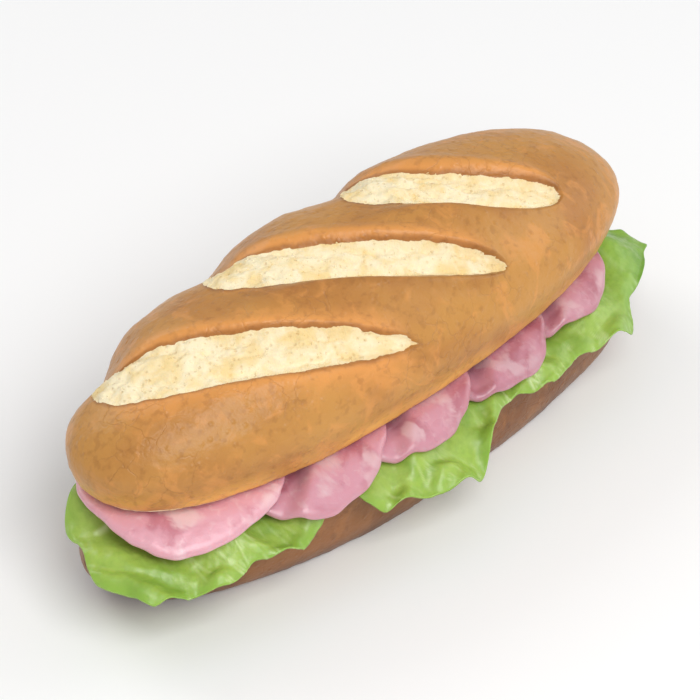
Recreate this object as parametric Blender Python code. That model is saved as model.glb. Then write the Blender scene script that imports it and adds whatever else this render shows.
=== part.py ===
"""Submarine sandwich: a slashed crusty roll, cut through, with lettuce and five shingled ham slices.

Metres, +Z up. The roll's length runs along X, and the side that shows most filling faces -Y.
The origin is the centre of the roll's flat base.
"""

import math
from collections import namedtuple

import bmesh
import bpy
from mathutils import Matrix, Vector, noise

# The roll
ROLL_LENGTH = 0.190
ROLL_WIDTH = 0.068
PLAN_POWER = 2.25
END_POWER = 2.5
BOTTOM_CUT = 0.0245
TOP_CUT = 0.0359
MEAT_BED = 0.0288
UNEVEN = 0.0007
UNEVEN_SCALE = 28.0

# The filling
CLEAR = 0.0005
HAM_THICK = 0.0024
HAM_RUFFLE = 0.0004
HAM_STEP = HAM_THICK + HAM_RUFFLE + CLEAR
HAM_TOP_LEVEL = MEAT_BED + CLEAR + HAM_STEP
HAM_MARGIN = 0.0015
HAM_CLIMB = 0.0060
HAM_COLUMNS = 13
HAM_ROWS = 11
RUFFLE_WAVES = 4
LEAF_THICK = 0.0011
LEAF_WAVE = 0.026
LEAF_PHASE = 2.6
LEAF_SLANT = 0.35
LEAF_SWAY = 0.8
LEAF_SWAY_LENGTH = 0.012
LEAF_LIFT = 0.0003
LEAF_PARTING = -0.0415
LEAF_PARTING_GAP = 0.0050
FRILL = 0.0021
FRILL_START = 0.004
FRILL_WAVES = 1.5
LEAF_FALL = 0.45
LEAF_CUT_WAVE = 0.0012
LEAF_CUT_LENGTH = 0.006

# How filling bends down outside the roll
DROOP_START = 0.0020
DROOP_SOFT = 0.0065
LEAF_DROOP_START = 0.0015
LEAF_DROOP_SOFT = 0.007
LEAF_DROOP_SLOPE = 0.75
MEAT_REACH = 0.008

# The ends differ: at the right the upper half slopes off and the lower one is fuller, at the left slimmer
Half = namedtuple("Half", "width middle rise fall floor ceiling power left_plan right_plan right_end")
TOP = Half(ROLL_WIDTH, TOP_CUT + 0.0062, 0.0272, 0.0165, TOP_CUT, 1.0, 2.15, PLAN_POWER, PLAN_POWER, 1.8)
BOTTOM = Half(ROLL_WIDTH + 0.001, 0.0128, 0.0330, 0.0205, 0.0, BOTTOM_CUT, 2.9, 2.05, 3.0, END_POWER)

# Each slash runs out over the far shoulder in a round dent, whose place and depth come near the end. The
# last number is how much wider the slash is on its near side at the far tip.
Slash = namedtuple("Slash", "near far bow half_width skew depth dent dent_depth fan")
SLASHES = (
    Slash((-0.0075, -0.0304), (-0.0800, 0.0149), 0.0059, 0.0075, 2.4, 0.0032, (-0.0720, 0.0215), 0.0045, 0.8),
    Slash((0.0281, -0.0270), (-0.0349, 0.0220), 0.0045, 0.0068, 1.6, 0.0029, (-0.0285, 0.0270), 0.0038, 1.5),
    Slash((0.0596, -0.0178), (0.0186, 0.0249), 0.0062, 0.0080, 1.2, 0.0028, (0.0165, 0.0262), 0.0028, 2.0),
)
SLASH_TAPER = 0.34
SLASH_OVERRUN = 1.25
FAN_FROM = 0.45
FAN_MOST = 1.2
SHALLOW_FROM = 0.45
SHALLOW_OVER = 0.55
SHALLOW = 0.85
DENT_SPREAD = 0.010
SUNK_FROM = 1.45
SUNK_OVER = 0.80
SLASH_RUN = Vector((0.83, -0.56, 0.0))
SLASH_LIP = 0.0007
LIP_PLACE = 1.55
LIP_WIDTH = 0.35
PILLOW = 0.0021
RELIEF_START = 0.3
RELIEF_FADE = 0.010

# How the roll's grid is spread round a section, in degrees of an even turn from the crown
CROWN_SHARE = 120.0
SIDE_SHARE = 20.0

# Slices lie with their long way across the roll, turned by the last number, in degrees
Slice = namedtuple("Slice", "centre half_length half_width power phase turn")
HAM = (
    Slice((-0.0692, -0.0062), 0.0262, 0.0243, 2.4, 0.3, 10.0),
    Slice((-0.0395, 0.0), 0.0275, 0.0405, 2.4, 1.9, 0.0),
    Slice((-0.0090, 0.0), 0.0275, 0.0415, 2.4, 3.1, 0.0),
    Slice((0.0215, 0.0), 0.0275, 0.0400, 2.4, 4.4, 0.0),
    Slice((0.0515, 0.0), 0.0285, 0.0342, 2.2, 5.2, 0.0),
)
# An oval's uneven edge: waves round it, their height and which way its phase shifts them
Wobble = namedtuple("Wobble", "waves height shift")
HAM_WOBBLE = (Wobble(3, 0.012, 1), Wobble(5, 0.008, -1))

# How far the lettuce reaches out of the roll. Each lobe has a direction in degrees from +X, as if the
# roll were round, a reach and a spread in degrees. Where the reach is negative the edge is tucked in.
Lobe = namedtuple("Lobe", "turn reach spread")
LOBE_BASE = 0.0042
LOBES = (
    Lobe(-158, 0.0086, 14.5),
    Lobe(-141, 0.0089, 7.5),
    Lobe(-130, 0.0068, 4.0),
    Lobe(-121, 0.0060, 5.2),
    Lobe(-103, 0.0062, 9.6),
    Lobe(-92, 0.0109, 7.0),
    Lobe(-73, 0.0066, 3.5),
    Lobe(-60, 0.0090, 6.6),
    Lobe(-40, 0.0052, 14.4),
    Lobe(-26, 0.0056, 3.6),
    Lobe(-14, -0.0068, 8.8),
    Lobe(38, 0.0046, 10.0),
    Lobe(64, 0.0064, 8.0),
    Lobe(84, 0.0042, 5.5),
    Lobe(102, 0.0062, 7.5),
    Lobe(122, 0.0036, 7.0),
    Lobe(148, -0.0095, 13.0),
)

# The edge is evened out over these directions, in degrees, so that no lobe breaks off
EDGE_TURNS = (-3.0, -1.5, 0.0, 1.5, 3.0)

Leaf = namedtuple("Leaf", "centre stretch start end columns rows")
LEAVES = {
    "lettuce_leaf_1": Leaf((-0.071, -0.002), (0.027, 0.036), -0.2, LEAF_PARTING - LEAF_PARTING_GAP, 16, 16),
    "lettuce_leaf_2": Leaf((0.029, -0.002), (0.066, 0.040), LEAF_PARTING + LEAF_PARTING_GAP, 0.2, 36, 16),
}

CRUST = ("crust", (0.56, 0.27, 0.085), 0.55)
MEAT = ("ham", (0.80, 0.36, 0.39), 0.35)
LEAF_GREEN = ("lettuce", (0.33, 0.50, 0.10), 0.40)


def smooth_step(value):
    """0 up to value 0, 1 from value 1, and a smooth rise between."""
    t = min(max(value, 0.0), 1.0)
    return t * t * (3 - 2 * t)


def bell(value, centre, width):
    """A bell of height 1 round a centre."""
    return math.exp(-(((value - centre) / width) ** 2))


def power_of(value, exponent):
    """Signed power, as superellipses use."""
    return math.copysign(abs(value) ** exponent, value)


def outside_distance(x, y, half_length, half_width, power):
    """How far a point lies outside an upright superellipse: negative inside it."""
    u, v = abs(x) / half_length, abs(y) / half_width
    norm = (u**power + v**power) ** (1 / power)
    if norm < 0.35:
        return -0.65 * half_width
    slope_x = (u / norm) ** (power - 1) / half_length
    slope_y = (v / norm) ** (power - 1) / half_width
    return (norm - 1) / math.hypot(slope_x, slope_y)


def outside_roll(x, y):
    """How far a point lies outside the upper half's outline, seen from above."""
    return outside_distance(x, y, ROLL_LENGTH / 2, ROLL_WIDTH / 2, PLAN_POWER)


def outside_lower(x, y):
    """How far a point lies outside the lower half's outline, seen from above."""
    power = BOTTOM.right_plan if x > 0 else BOTTOM.left_plan
    return outside_distance(x, y, ROLL_LENGTH / 2, ROLL_WIDTH / 2, power)


def bend_down(distance, start, soft, slope):
    """The drop of a layer that lies flat up to start inside the roll's edge and then curves down."""
    past = max(0.0, distance + start)
    return slope * (math.hypot(past, soft) - soft)


def unevenness(point, seed):
    """The slow swelling of a baked surface."""
    return UNEVEN * noise.noise(Vector(point) * UNEVEN_SCALE + Vector((seed, 0.0, 0.0)))


def slash_place(slash, x, y):
    """Where a point lies on a slash: its share of the way from near to far tip, and its offset across."""
    start, end = Vector(slash.near), Vector(slash.far)
    run = end - start
    along = run.normalized()
    from_start = Vector((x, y)) - start
    share = from_start.dot(along) / run.length
    offset = along.x * from_start.y - along.y * from_start.x
    bowed = offset - slash.bow * 4 * share * (1 - share)
    fanned = 1 + slash.fan * min(max(0.0, share - FAN_FROM) / (1 - FAN_FROM), FAN_MOST) ** 2
    return share, bowed / fanned if bowed > 0 else bowed


def slash_relief(x, y):
    """The crust's height over the plain dome: sunk in the slashes, lipped at their edges, full between."""
    height = PILLOW
    for slash in SLASHES:
        height -= slash.dent_depth * bell(math.dist((x, y), slash.dent), 0.0, DENT_SPREAD)
        share, offset = slash_place(slash, x, y)
        deep = 1 - SHALLOW * smooth_step((share - SHALLOW_FROM) / SHALLOW_OVER)
        share /= SLASH_OVERRUN
        if not 0.001 < share < 0.999:
            continue
        skewed = share**slash.skew
        taper = (4 * skewed * (1 - skewed)) ** SLASH_TAPER
        across = abs(offset) / (slash.half_width * taper)
        sunk = smooth_step((SUNK_FROM - across) / SUNK_OVER)
        lip = bell(across, LIP_PLACE, LIP_WIDTH)
        height -= taper**0.5 * deep * ((slash.depth + PILLOW) * sunk - SLASH_LIP * lip)
    return height


def spread_turn(turn, side_turn):
    """Turns an even angle round the section into one from the crown, with most steps on the crust side.

    Angles are in degrees. The even one starts at +Y, and side_turn is where the flat cut starts below
    the widest line.
    """
    turn = (turn + 180) % 360 - 180
    from_crown = abs(turn - 90) if turn > -90 else abs(turn + 270)
    if from_crown <= CROWN_SHARE:
        return from_crown / CROWN_SHARE * 90
    if from_crown <= CROWN_SHARE + SIDE_SHARE:
        return 90 + (from_crown - CROWN_SHARE) / SIDE_SHARE * side_turn
    rest = (from_crown - CROWN_SHARE - SIDE_SHARE) / (180 - CROWN_SHARE - SIDE_SHARE)
    return 90 + side_turn + rest * (90 - side_turn)


def slab(columns, rows):
    """A flat square slab, 2 wide and 1 high, with its top and bottom split into triangles alike."""
    bm = bmesh.new()
    bmesh.ops.create_grid(bm, x_segments=columns, y_segments=rows, size=1.0)
    bmesh.ops.triangulate(bm, faces=bm.faces)
    lifted = bmesh.ops.extrude_face_region(bm, geom=list(bm.faces), use_keep_orig=True)
    for vert in (part for part in lifted["geom"] if isinstance(part, bmesh.types.BMVert)):
        vert.co.z = 1.0
    bmesh.ops.recalc_face_normals(bm, faces=bm.faces)
    return bm


def disc_place(u, v):
    """Carries a point of the square onto a disc: its direction, and its share of the way to the edge."""
    disc_x, disc_y = u * math.sqrt(1 - v * v / 2), v * math.sqrt(1 - u * u / 2)
    return math.atan2(disc_y, disc_x), math.hypot(disc_x, disc_y)


def split_along(bm, direction):
    """Splits every quad along the diagonal that runs closer to a direction, so that relief on it is even."""
    for face in [face for face in bm.faces if len(face.verts) == 4]:
        corners = list(face.verts)
        pairs = ((corners[0], corners[2]), (corners[1], corners[3]))
        best = max(pairs, key=lambda pair: abs((pair[0].co - pair[1].co).normalized().dot(direction)))
        bmesh.utils.face_split(face, *best)


def roll_half(name, half, around, along, crust_up, relief, seed):
    """One half of the roll: a sphere drawn out into the loaf's form and cut off flat."""
    bm = bmesh.new()
    bmesh.ops.create_uvsphere(bm, u_segments=around, v_segments=along, radius=1.0)
    bmesh.ops.rotate(bm, verts=bm.verts, matrix=Matrix.Rotation(math.radians(90), 3, "Y"))
    depth = half.middle - half.floor if crust_up else half.ceiling - half.middle
    reach = half.fall if crust_up else half.rise
    side_turn = math.degrees(math.asin(min(1.0, (depth / reach) ** (half.power / 2)))) + 2
    for vert in bm.verts:
        place = math.acos(min(max(vert.co.x, -1.0), 1.0))
        turn = math.degrees(math.atan2(vert.co.z if crust_up else -vert.co.z, vert.co.y))
        from_top = math.radians(spread_turn(turn, side_turn))
        girth = math.sin(place)
        plan_power = half.right_plan if vert.co.x > 0 else half.left_plan
        end_power = half.right_end if vert.co.x > 0 else END_POWER
        x = ROLL_LENGTH / 2 * power_of(math.cos(place), 2 / plan_power)
        side = math.copysign(1.0, vert.co.y) if abs(vert.co.y) > 1e-6 else 0.0
        y = side * half.width / 2 * girth ** (2 / plan_power) * abs(math.sin(from_top)) ** (2 / half.power)
        lift = power_of(math.cos(from_top), 2 / half.power) * girth ** (2 / end_power)
        lift = lift if crust_up else -lift
        z = half.middle + lift * (half.rise if lift > 0 else half.fall)
        vert.co = (x, y, z)
    bm.normal_update()
    moves = []
    for vert in bm.verts:
        height = unevenness(vert.co, seed)
        if relief:
            fade = smooth_step(RELIEF_START + (vert.co.z - half.middle) / RELIEF_FADE)
            height += fade * relief(vert.co.x, vert.co.y)
        moves.append(vert.normal * height)
    for vert, move in zip(bm.verts, moves):
        vert.co += move
        vert.co.z = min(max(vert.co.z, half.floor), half.ceiling)
    split_along(bm, SLASH_RUN)
    return add_object(name, bm, CRUST)


def slice_cover(index, x, y, margin, fade):
    """1 under or over a ham slice and up to margin outside it, falling to 0 within the fade beyond."""
    piece = HAM[index]
    turn = math.radians(piece.turn)
    from_x, from_y = x - piece.centre[0], y - piece.centre[1]
    short = from_x * math.cos(turn) - from_y * math.sin(turn)
    long = from_x * math.sin(turn) + from_y * math.cos(turn)
    distance = outside_distance(short, long, piece.half_length, piece.half_width, piece.power)
    return 1 - smooth_step((distance - margin) / fade)


def slices_above(index, x, y):
    """How many slices lie over this one here. It climbs to 0 beyond the edge of the slice that covers it."""
    if index == 0:
        return 0.0
    return slice_cover(index - 1, x, y, HAM_MARGIN, HAM_CLIMB) * (1 + slices_above(index - 1, x, y))


def ham_height(index, x, y):
    """The level of a ham slice's underside: tucked under the slice before it, up against the roll beyond."""
    drop = bend_down(outside_roll(x, y), DROOP_START, DROOP_SOFT, 1.0)
    return HAM_TOP_LEVEL - HAM_STEP * slices_above(index, x, y) - drop


def meat_floor(x, y):
    """The level of the lowest ham over a place in the lettuce, before it bends down at the roll's edge."""
    margin = 2 * HAM_MARGIN
    layers = [slice_cover(i, x, y, margin, HAM_CLIMB) * slices_above(i, x, y) for i in range(len(HAM))]
    return HAM_TOP_LEVEL - HAM_STEP * max(layers)


def ham_slice(name, index):
    """A thin oval slice laid on what is under it, with a faint ruffle."""
    piece = HAM[index]
    turn = math.radians(piece.turn)
    bm = slab(HAM_COLUMNS, HAM_ROWS)
    for vert in bm.verts:
        angle, share = disc_place(vert.co.x, vert.co.y)
        wobble = sum(w.height * math.sin(w.waves * angle + w.shift * piece.phase) for w in HAM_WOBBLE)
        out = share * (1 + wobble)
        short = piece.half_length * out * power_of(math.cos(angle), 2 / piece.power)
        long = piece.half_width * out * power_of(math.sin(angle), 2 / piece.power)
        x = piece.centre[0] + short * math.cos(turn) + long * math.sin(turn)
        y = piece.centre[1] - short * math.sin(turn) + long * math.cos(turn)
        ruffle = HAM_RUFFLE * (0.5 + 0.5 * math.sin(RUFFLE_WAVES * angle + piece.phase)) * share**2
        vert.co = (x, y, ham_height(index, x, y) + ruffle + vert.co.z * HAM_THICK)
    return add_object(name, bm, MEAT)


def lobe_reach(x, y):
    """How far the lettuce reaches out of the roll's outline here."""
    turn = math.degrees(math.atan2(y / ROLL_WIDTH, x / ROLL_LENGTH))
    lobes = (lobe.reach * bell((turn - lobe.turn + 180) % 360, 180, lobe.spread) for lobe in LOBES)
    return LOBE_BASE + sum(lobes)


def leaf_edge(leaf, angle):
    """The leaf's edge in one direction, as a multiple of its stretch, found by halving."""
    step_x, step_y = leaf.stretch[0] * math.cos(angle), leaf.stretch[1] * math.sin(angle)
    inside, outside = 0.1, 2.5
    for _ in range(26):
        middle = (inside + outside) / 2
        x, y = leaf.centre[0] + middle * step_x, leaf.centre[1] + middle * step_y
        wobble = LEAF_CUT_WAVE * math.sin(y / LEAF_CUT_LENGTH)
        held = leaf.start + wobble < x < leaf.end + wobble
        if held and outside_roll(x, y) < lobe_reach(x, y):
            inside = middle
        else:
            outside = middle
    return inside


def even_edge(leaf, angle):
    """The leaf's edge in one direction, evened out over the directions beside it."""
    return sum(leaf_edge(leaf, angle + math.radians(turn)) for turn in EDGE_TURNS) / len(EDGE_TURNS)


def leaf_height(x, y):
    """The middle level of the lettuce: waves between the bread and the ham, frilled where it is free."""
    crest = meat_floor(x, y) - CLEAR - LEAF_THICK
    crest -= bend_down(min(outside_roll(x, y), MEAT_REACH), DROOP_START, DROOP_SOFT, 1.0)
    distance = outside_lower(x, y)
    low = BOTTOM_CUT + LEAF_LIFT + LEAF_THICK
    low -= bend_down(min(distance, MEAT_REACH), LEAF_DROOP_START, LEAF_DROOP_SOFT, LEAF_DROOP_SLOPE)
    sway = LEAF_SWAY * math.sin(y / LEAF_SWAY_LENGTH)
    turn = 2 * math.pi * (x + LEAF_SLANT * y) / LEAF_WAVE + sway + LEAF_PHASE
    wave = 0.5 + 0.5 * math.sin(turn)
    past = max(0.0, distance - MEAT_REACH)
    frill = FRILL * math.sin(turn * FRILL_WAVES) * smooth_step(past / FRILL_START)
    return low + max(0.0, crest - low) * wave - LEAF_FALL * past + frill


def lettuce_leaf(name, leaf):
    """A thin wavy leaf, drawn out to its lobed edge."""
    bm = slab(leaf.columns, leaf.rows)
    for vert in bm.verts:
        angle, share = disc_place(vert.co.x, vert.co.y)
        edge = even_edge(leaf, angle)
        x = leaf.centre[0] + share * edge * leaf.stretch[0] * math.cos(angle)
        y = leaf.centre[1] + share * edge * leaf.stretch[1] * math.sin(angle)
        vert.co = (x, y, leaf_height(x, y) + (vert.co.z - 0.5) * LEAF_THICK)
    return add_object(name, bm, LEAF_GREEN)


def finish_material(name, colour, roughness):
    """A plain finish of one colour, made once and shared."""
    material = bpy.data.materials.get(name)
    if material is None:
        material = bpy.data.materials.new(name)
        material.use_nodes = True
        shader = material.node_tree.nodes["Principled BSDF"]
        shader.inputs["Base Color"].default_value = (*colour, 1.0)
        shader.inputs["Roughness"].default_value = roughness
        shader.inputs["Metallic"].default_value = 0.0
    return material


def add_object(name, bm, finish):
    """Puts a finished mesh in the sandwich's collection, smooth, with its own finish."""
    mesh = bpy.data.meshes.new(name)
    bm.to_mesh(mesh)
    bm.free()
    mesh.shade_smooth()
    mesh.set_sharp_from_angle(angle=math.radians(50))
    mesh.materials.append(finish_material(*finish))
    made = bpy.data.objects.new(name, mesh)
    bpy.data.collections["submarine_sandwich"].objects.link(made)
    return made


def clear_scene():
    """Empties the scene and makes the sandwich's collection."""
    for old in list(bpy.data.objects):
        bpy.data.objects.remove(old)
    collection = bpy.data.collections.new("submarine_sandwich")
    bpy.context.scene.collection.children.link(collection)


def main():
    """Builds the bread, the lettuce and the ham from the bottom up."""
    clear_scene()
    roll_half("bottom_roll", BOTTOM, 30, 32, False, None, 3.0)
    for name, leaf in LEAVES.items():
        lettuce_leaf(name, leaf)
    for index in range(len(HAM)):
        ham_slice(f"ham_slice_{index + 1}", index)
    roll_half("top_roll", TOP, 44, 68, True, slash_relief, 11.0)


main()
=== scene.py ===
"""The looks of a submarine sandwich: a slashed crusty roll with shingled ham over frilly lettuce.

Each piece takes the form of its solid in the frame and adds what the solid leaves out: the torn bread
in the slashes, the crust's broken edges, ribs and puckers in the lettuce, soft edges on the ham.
Everything is in metres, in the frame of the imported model: +X along the roll, +Z up, -Y the near side.
"""

import logging
import math
from dataclasses import dataclass
from enum import Enum

import bmesh
import bpy
import numpy as np
from mathutils import Matrix, Vector, noise


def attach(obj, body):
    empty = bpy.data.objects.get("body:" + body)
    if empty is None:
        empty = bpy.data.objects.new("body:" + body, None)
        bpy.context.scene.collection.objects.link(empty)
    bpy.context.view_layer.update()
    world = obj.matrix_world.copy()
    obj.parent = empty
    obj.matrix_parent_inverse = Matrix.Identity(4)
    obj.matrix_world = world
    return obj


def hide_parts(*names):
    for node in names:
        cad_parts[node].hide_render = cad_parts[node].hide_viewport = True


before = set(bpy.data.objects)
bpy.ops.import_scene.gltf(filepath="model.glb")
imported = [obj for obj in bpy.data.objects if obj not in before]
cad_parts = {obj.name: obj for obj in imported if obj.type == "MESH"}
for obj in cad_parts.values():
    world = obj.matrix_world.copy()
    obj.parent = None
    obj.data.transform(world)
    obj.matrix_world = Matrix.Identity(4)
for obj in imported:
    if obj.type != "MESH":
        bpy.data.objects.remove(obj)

Array = np.ndarray
Colour = tuple[float, float, float]
Material = bpy.types.Material
Node = bpy.types.Node
Piece = bpy.types.Object
Socket = bpy.types.NodeSocket
Tree = bpy.types.NodeTree

LOG = logging.getLogger("sandwich")
BODY = "root"
BREAD_LEVEL = 0.0245
CUT_LEVEL = 0.0359

FLOAT, VECTOR = "NodeSocketFloat", "NodeSocketVector"
GEOMETRY, OBJECT, MATERIAL = "NodeSocketGeometry", "NodeSocketObject", "NodeSocketMaterial"

TINY = 1e-9
NARROW = 1e-6
FULL_TURN = 6.28
CLOSED = 1e-4
FLAT_WITHIN = 0.35
LAYER_FADE, LAYER_GAP = 0.8, 2.1


class Slot(Enum):
    """The record's material slots."""

    CRUST = "crust"
    HAM = "ham"
    LETTUCE = "lettuce"


# Numbers and small helpers


def shade(red: int, green: int, blue: int) -> Colour:
    """A colour as read off a screen, in the linear values that shaders take.

    Args:
        red: Red, 0 to 255.
        green: Green, 0 to 255.
        blue: Blue, 0 to 255.

    Returns:
        The three linear values.
    """
    return tuple((value / 255 / 12.92) if value < 11 else ((value / 255 + 0.055) / 1.055) ** 2.4
                 for value in (red, green, blue))


def smooth_step(value: Array) -> Array:
    """0 up to value 0, 1 from value 1, and a smooth rise between."""
    t = np.clip(value, 0.0, 1.0)
    return t * t * (3 - 2 * t)


def bump_at(value: Array, centre: float, width: float) -> Array:
    """A bell of height 1 round a centre."""
    return np.exp(-(((value - centre) / width) ** 2))


def signed_power(value: Array, exponent: float) -> Array:
    """A power that keeps the sign, as superellipses use."""
    return np.sign(value) * np.abs(value) ** exponent


def oval_distance(x: Array, y: Array, half_length: float, half_width: float, power: float | Array) -> Array:
    """How far points lie outside an upright superellipse.

    Args:
        x: Places along its length, from its centre.
        y: Places across it, from its centre.
        half_length: Half its length.
        half_width: Half its width.
        power: Its exponent, 2 for an ellipse.

    Returns:
        Distances, negative inside, and all the same in the middle of the outline.
    """
    u, v = np.abs(x) / half_length, np.abs(y) / half_width
    norm = np.maximum((u**power + v**power) ** (1 / power), TINY)
    slope_x = (u / norm) ** (power - 1) / half_length
    slope_y = (v / norm) ** (power - 1) / half_width
    flat = -(1 - FLAT_WITHIN) * half_width
    return np.where(norm < FLAT_WITHIN, flat, (norm - 1) / np.hypot(slope_x, slope_y))


def eased(over: Array, soft: float) -> Array:
    """The value where it is over 0 and 0 where it is under, rounded off within soft of 0."""
    return np.where(over > soft, over, np.where(over < -soft, 0.0, (over + soft) ** 2 / (4 * soft)))


def as_rows(*columns: Array) -> Array:
    """Sets columns side by side, one point a row."""
    return np.stack(columns, axis=1)


def bend_down(distance: Array, start: float, soft: float, slope: float) -> Array:
    """The drop of a layer that lies flat up to start inside the roll's edge and then curves down."""
    past = np.maximum(0.0, distance + start)
    return slope * (np.hypot(past, soft) - soft)


def slanting_wave(x: Array, y: Array, length: float, swing: float) -> Array:
    """A wave that slants across the roll, bunched and spread by a slower one along it.

    Args:
        x: Places along the roll.
        y: Places across it.
        length: The wave's length.
        swing: How fast the slower wave turns, in radians a metre.

    Returns:
        Values from -1 to 1.
    """
    return np.sin(2 * math.pi * (x - y) / length + 2 * np.sin(x * swing))


def drift(points: Array, scale: float, seed: float, octaves: int = 1) -> Array:
    """Slow random swelling, the same at every run.

    Args:
        points: Places, one a row.
        scale: Waves in a metre.
        seed: How far the pattern is shifted along X.
        octaves: How many finer layers it has.

    Returns:
        Values of about -1 to 1.
    """
    places = (points * scale + np.array((seed, 0.0, 0.0))).tolist()
    if octaves == 1:
        return np.array([noise.noise(place) for place in places])
    return np.array([noise.fractal(place, LAYER_FADE, LAYER_GAP, octaves) for place in places])


def even_steps(path: Array, count: int) -> Array:
    """Where to stop along a path so that the steps between stops are even.

    Args:
        path: The path's points, one a row.
        count: How many steps.

    Returns:
        Stops as shares of the path's rows, from 0 to 1.
    """
    lengths = np.linalg.norm(np.diff(path, axis=0), axis=1)
    walked = np.concatenate(((0.0,), np.cumsum(lengths)))
    return np.interp(np.linspace(0, walked[-1], count + 1), walked, np.linspace(0, 1, len(path)))


# Meshes


def new_piece(name: str, points: Array, faces: list, outward: bool = False) -> Piece:
    """Makes a smooth mesh piece at the origin.

    Args:
        name: The piece's name.
        points: Its points, one a row.
        faces: Its faces, as rows of point numbers.
        outward: Whether its faces are turned outwards afterwards.

    Returns:
        The object, linked to the scene.
    """
    mesh = bpy.data.meshes.new(name)
    mesh.from_pydata(points.tolist(), [], faces)
    mesh.update()
    if outward:
        bm = bmesh.new()
        bm.from_mesh(mesh)
        bmesh.ops.recalc_face_normals(bm, faces=bm.faces)
        bm.to_mesh(mesh)
        bm.free()
    mesh.shade_smooth()
    piece = bpy.data.objects.new(name, mesh)
    bpy.context.scene.collection.objects.link(piece)
    return piece


def point_normals(piece: Piece) -> Array:
    """The directions in which the mesh's points face."""
    normals = np.empty(len(piece.data.vertices) * 3)
    piece.data.vertices.foreach_get("normal", normals)
    return normals.reshape(-1, 3)


def place_points(piece: Piece, points: Array) -> None:
    """Moves the mesh's points."""
    piece.data.vertices.foreach_set("co", points.ravel())
    piece.data.update()


def paint(piece: Piece, name: str, values: Array) -> None:
    """Stores one number a point under a name that materials read."""
    layer = piece.data.attributes.new(name, "FLOAT", "POINT")
    layer.data.foreach_set("value", values.astype(np.float32).ravel())


def ringed_faces(rings: int, columns: int) -> list:
    """The faces of a closed skin: rings of points, with one point at each end.

    Args:
        rings: How many rings.
        columns: How many points a ring has.

    Returns:
        Faces over points numbered ring by ring, then the first end, then the last.
    """
    first, last = rings * columns, rings * columns + 1
    faces = []
    for column in range(columns):
        after = (column + 1) % columns
        faces.append((first, after, column))
        top = (rings - 1) * columns
        faces.append((last, top + column, top + after))
        for ring in range(rings - 1):
            here, there = ring * columns, (ring + 1) * columns
            faces.append((here + column, here + after, there + after, there + column))
    return faces


def slab_grid(columns: int, rows: int) -> tuple[Array, Array, Array, list]:
    """A closed square slab with one row of faces round its edge.

    Args:
        columns: Steps along it.
        rows: Steps across it.

    Returns:
        Places along and across, from -1 to 1, which side each point is on (-1 or 1), and the faces.
    """
    along, across = np.meshgrid(np.linspace(-1, 1, columns + 1), np.linspace(-1, 1, rows + 1), indexing="ij")
    count = along.size
    index = np.arange(count).reshape(columns + 1, rows + 1)
    quads = np.stack((index[:-1, :-1], index[1:, :-1], index[1:, 1:], index[:-1, 1:]), axis=-1).reshape(-1, 4)
    upper = (quads + count).tolist()
    lower = quads[:, ::-1].tolist()
    loop = list(index[:, 0]) + list(index[-1, 1:]) + list(index[-2::-1, -1]) + list(index[0, -2:0:-1])
    loop = [int(number) for number in loop]
    walls = [(here, there, there + count, here + count) for here, there in zip(loop, loop[1:] + loop[:1])]
    side = np.concatenate((-np.ones(count), np.ones(count)))
    return np.tile(along.ravel(), 2), np.tile(across.ravel(), 2), side, lower + upper + walls


def disc_place(u: Array, v: Array) -> tuple[Array, Array]:
    """Carries points of the square onto a disc: their directions, and shares of the way to the edge."""
    disc_x, disc_y = u * np.sqrt(1 - v * v / 2), v * np.sqrt(1 - u * u / 2)
    return np.arctan2(disc_y, disc_x), np.minimum(np.hypot(disc_x, disc_y), 1.0)


# Node trees


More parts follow.
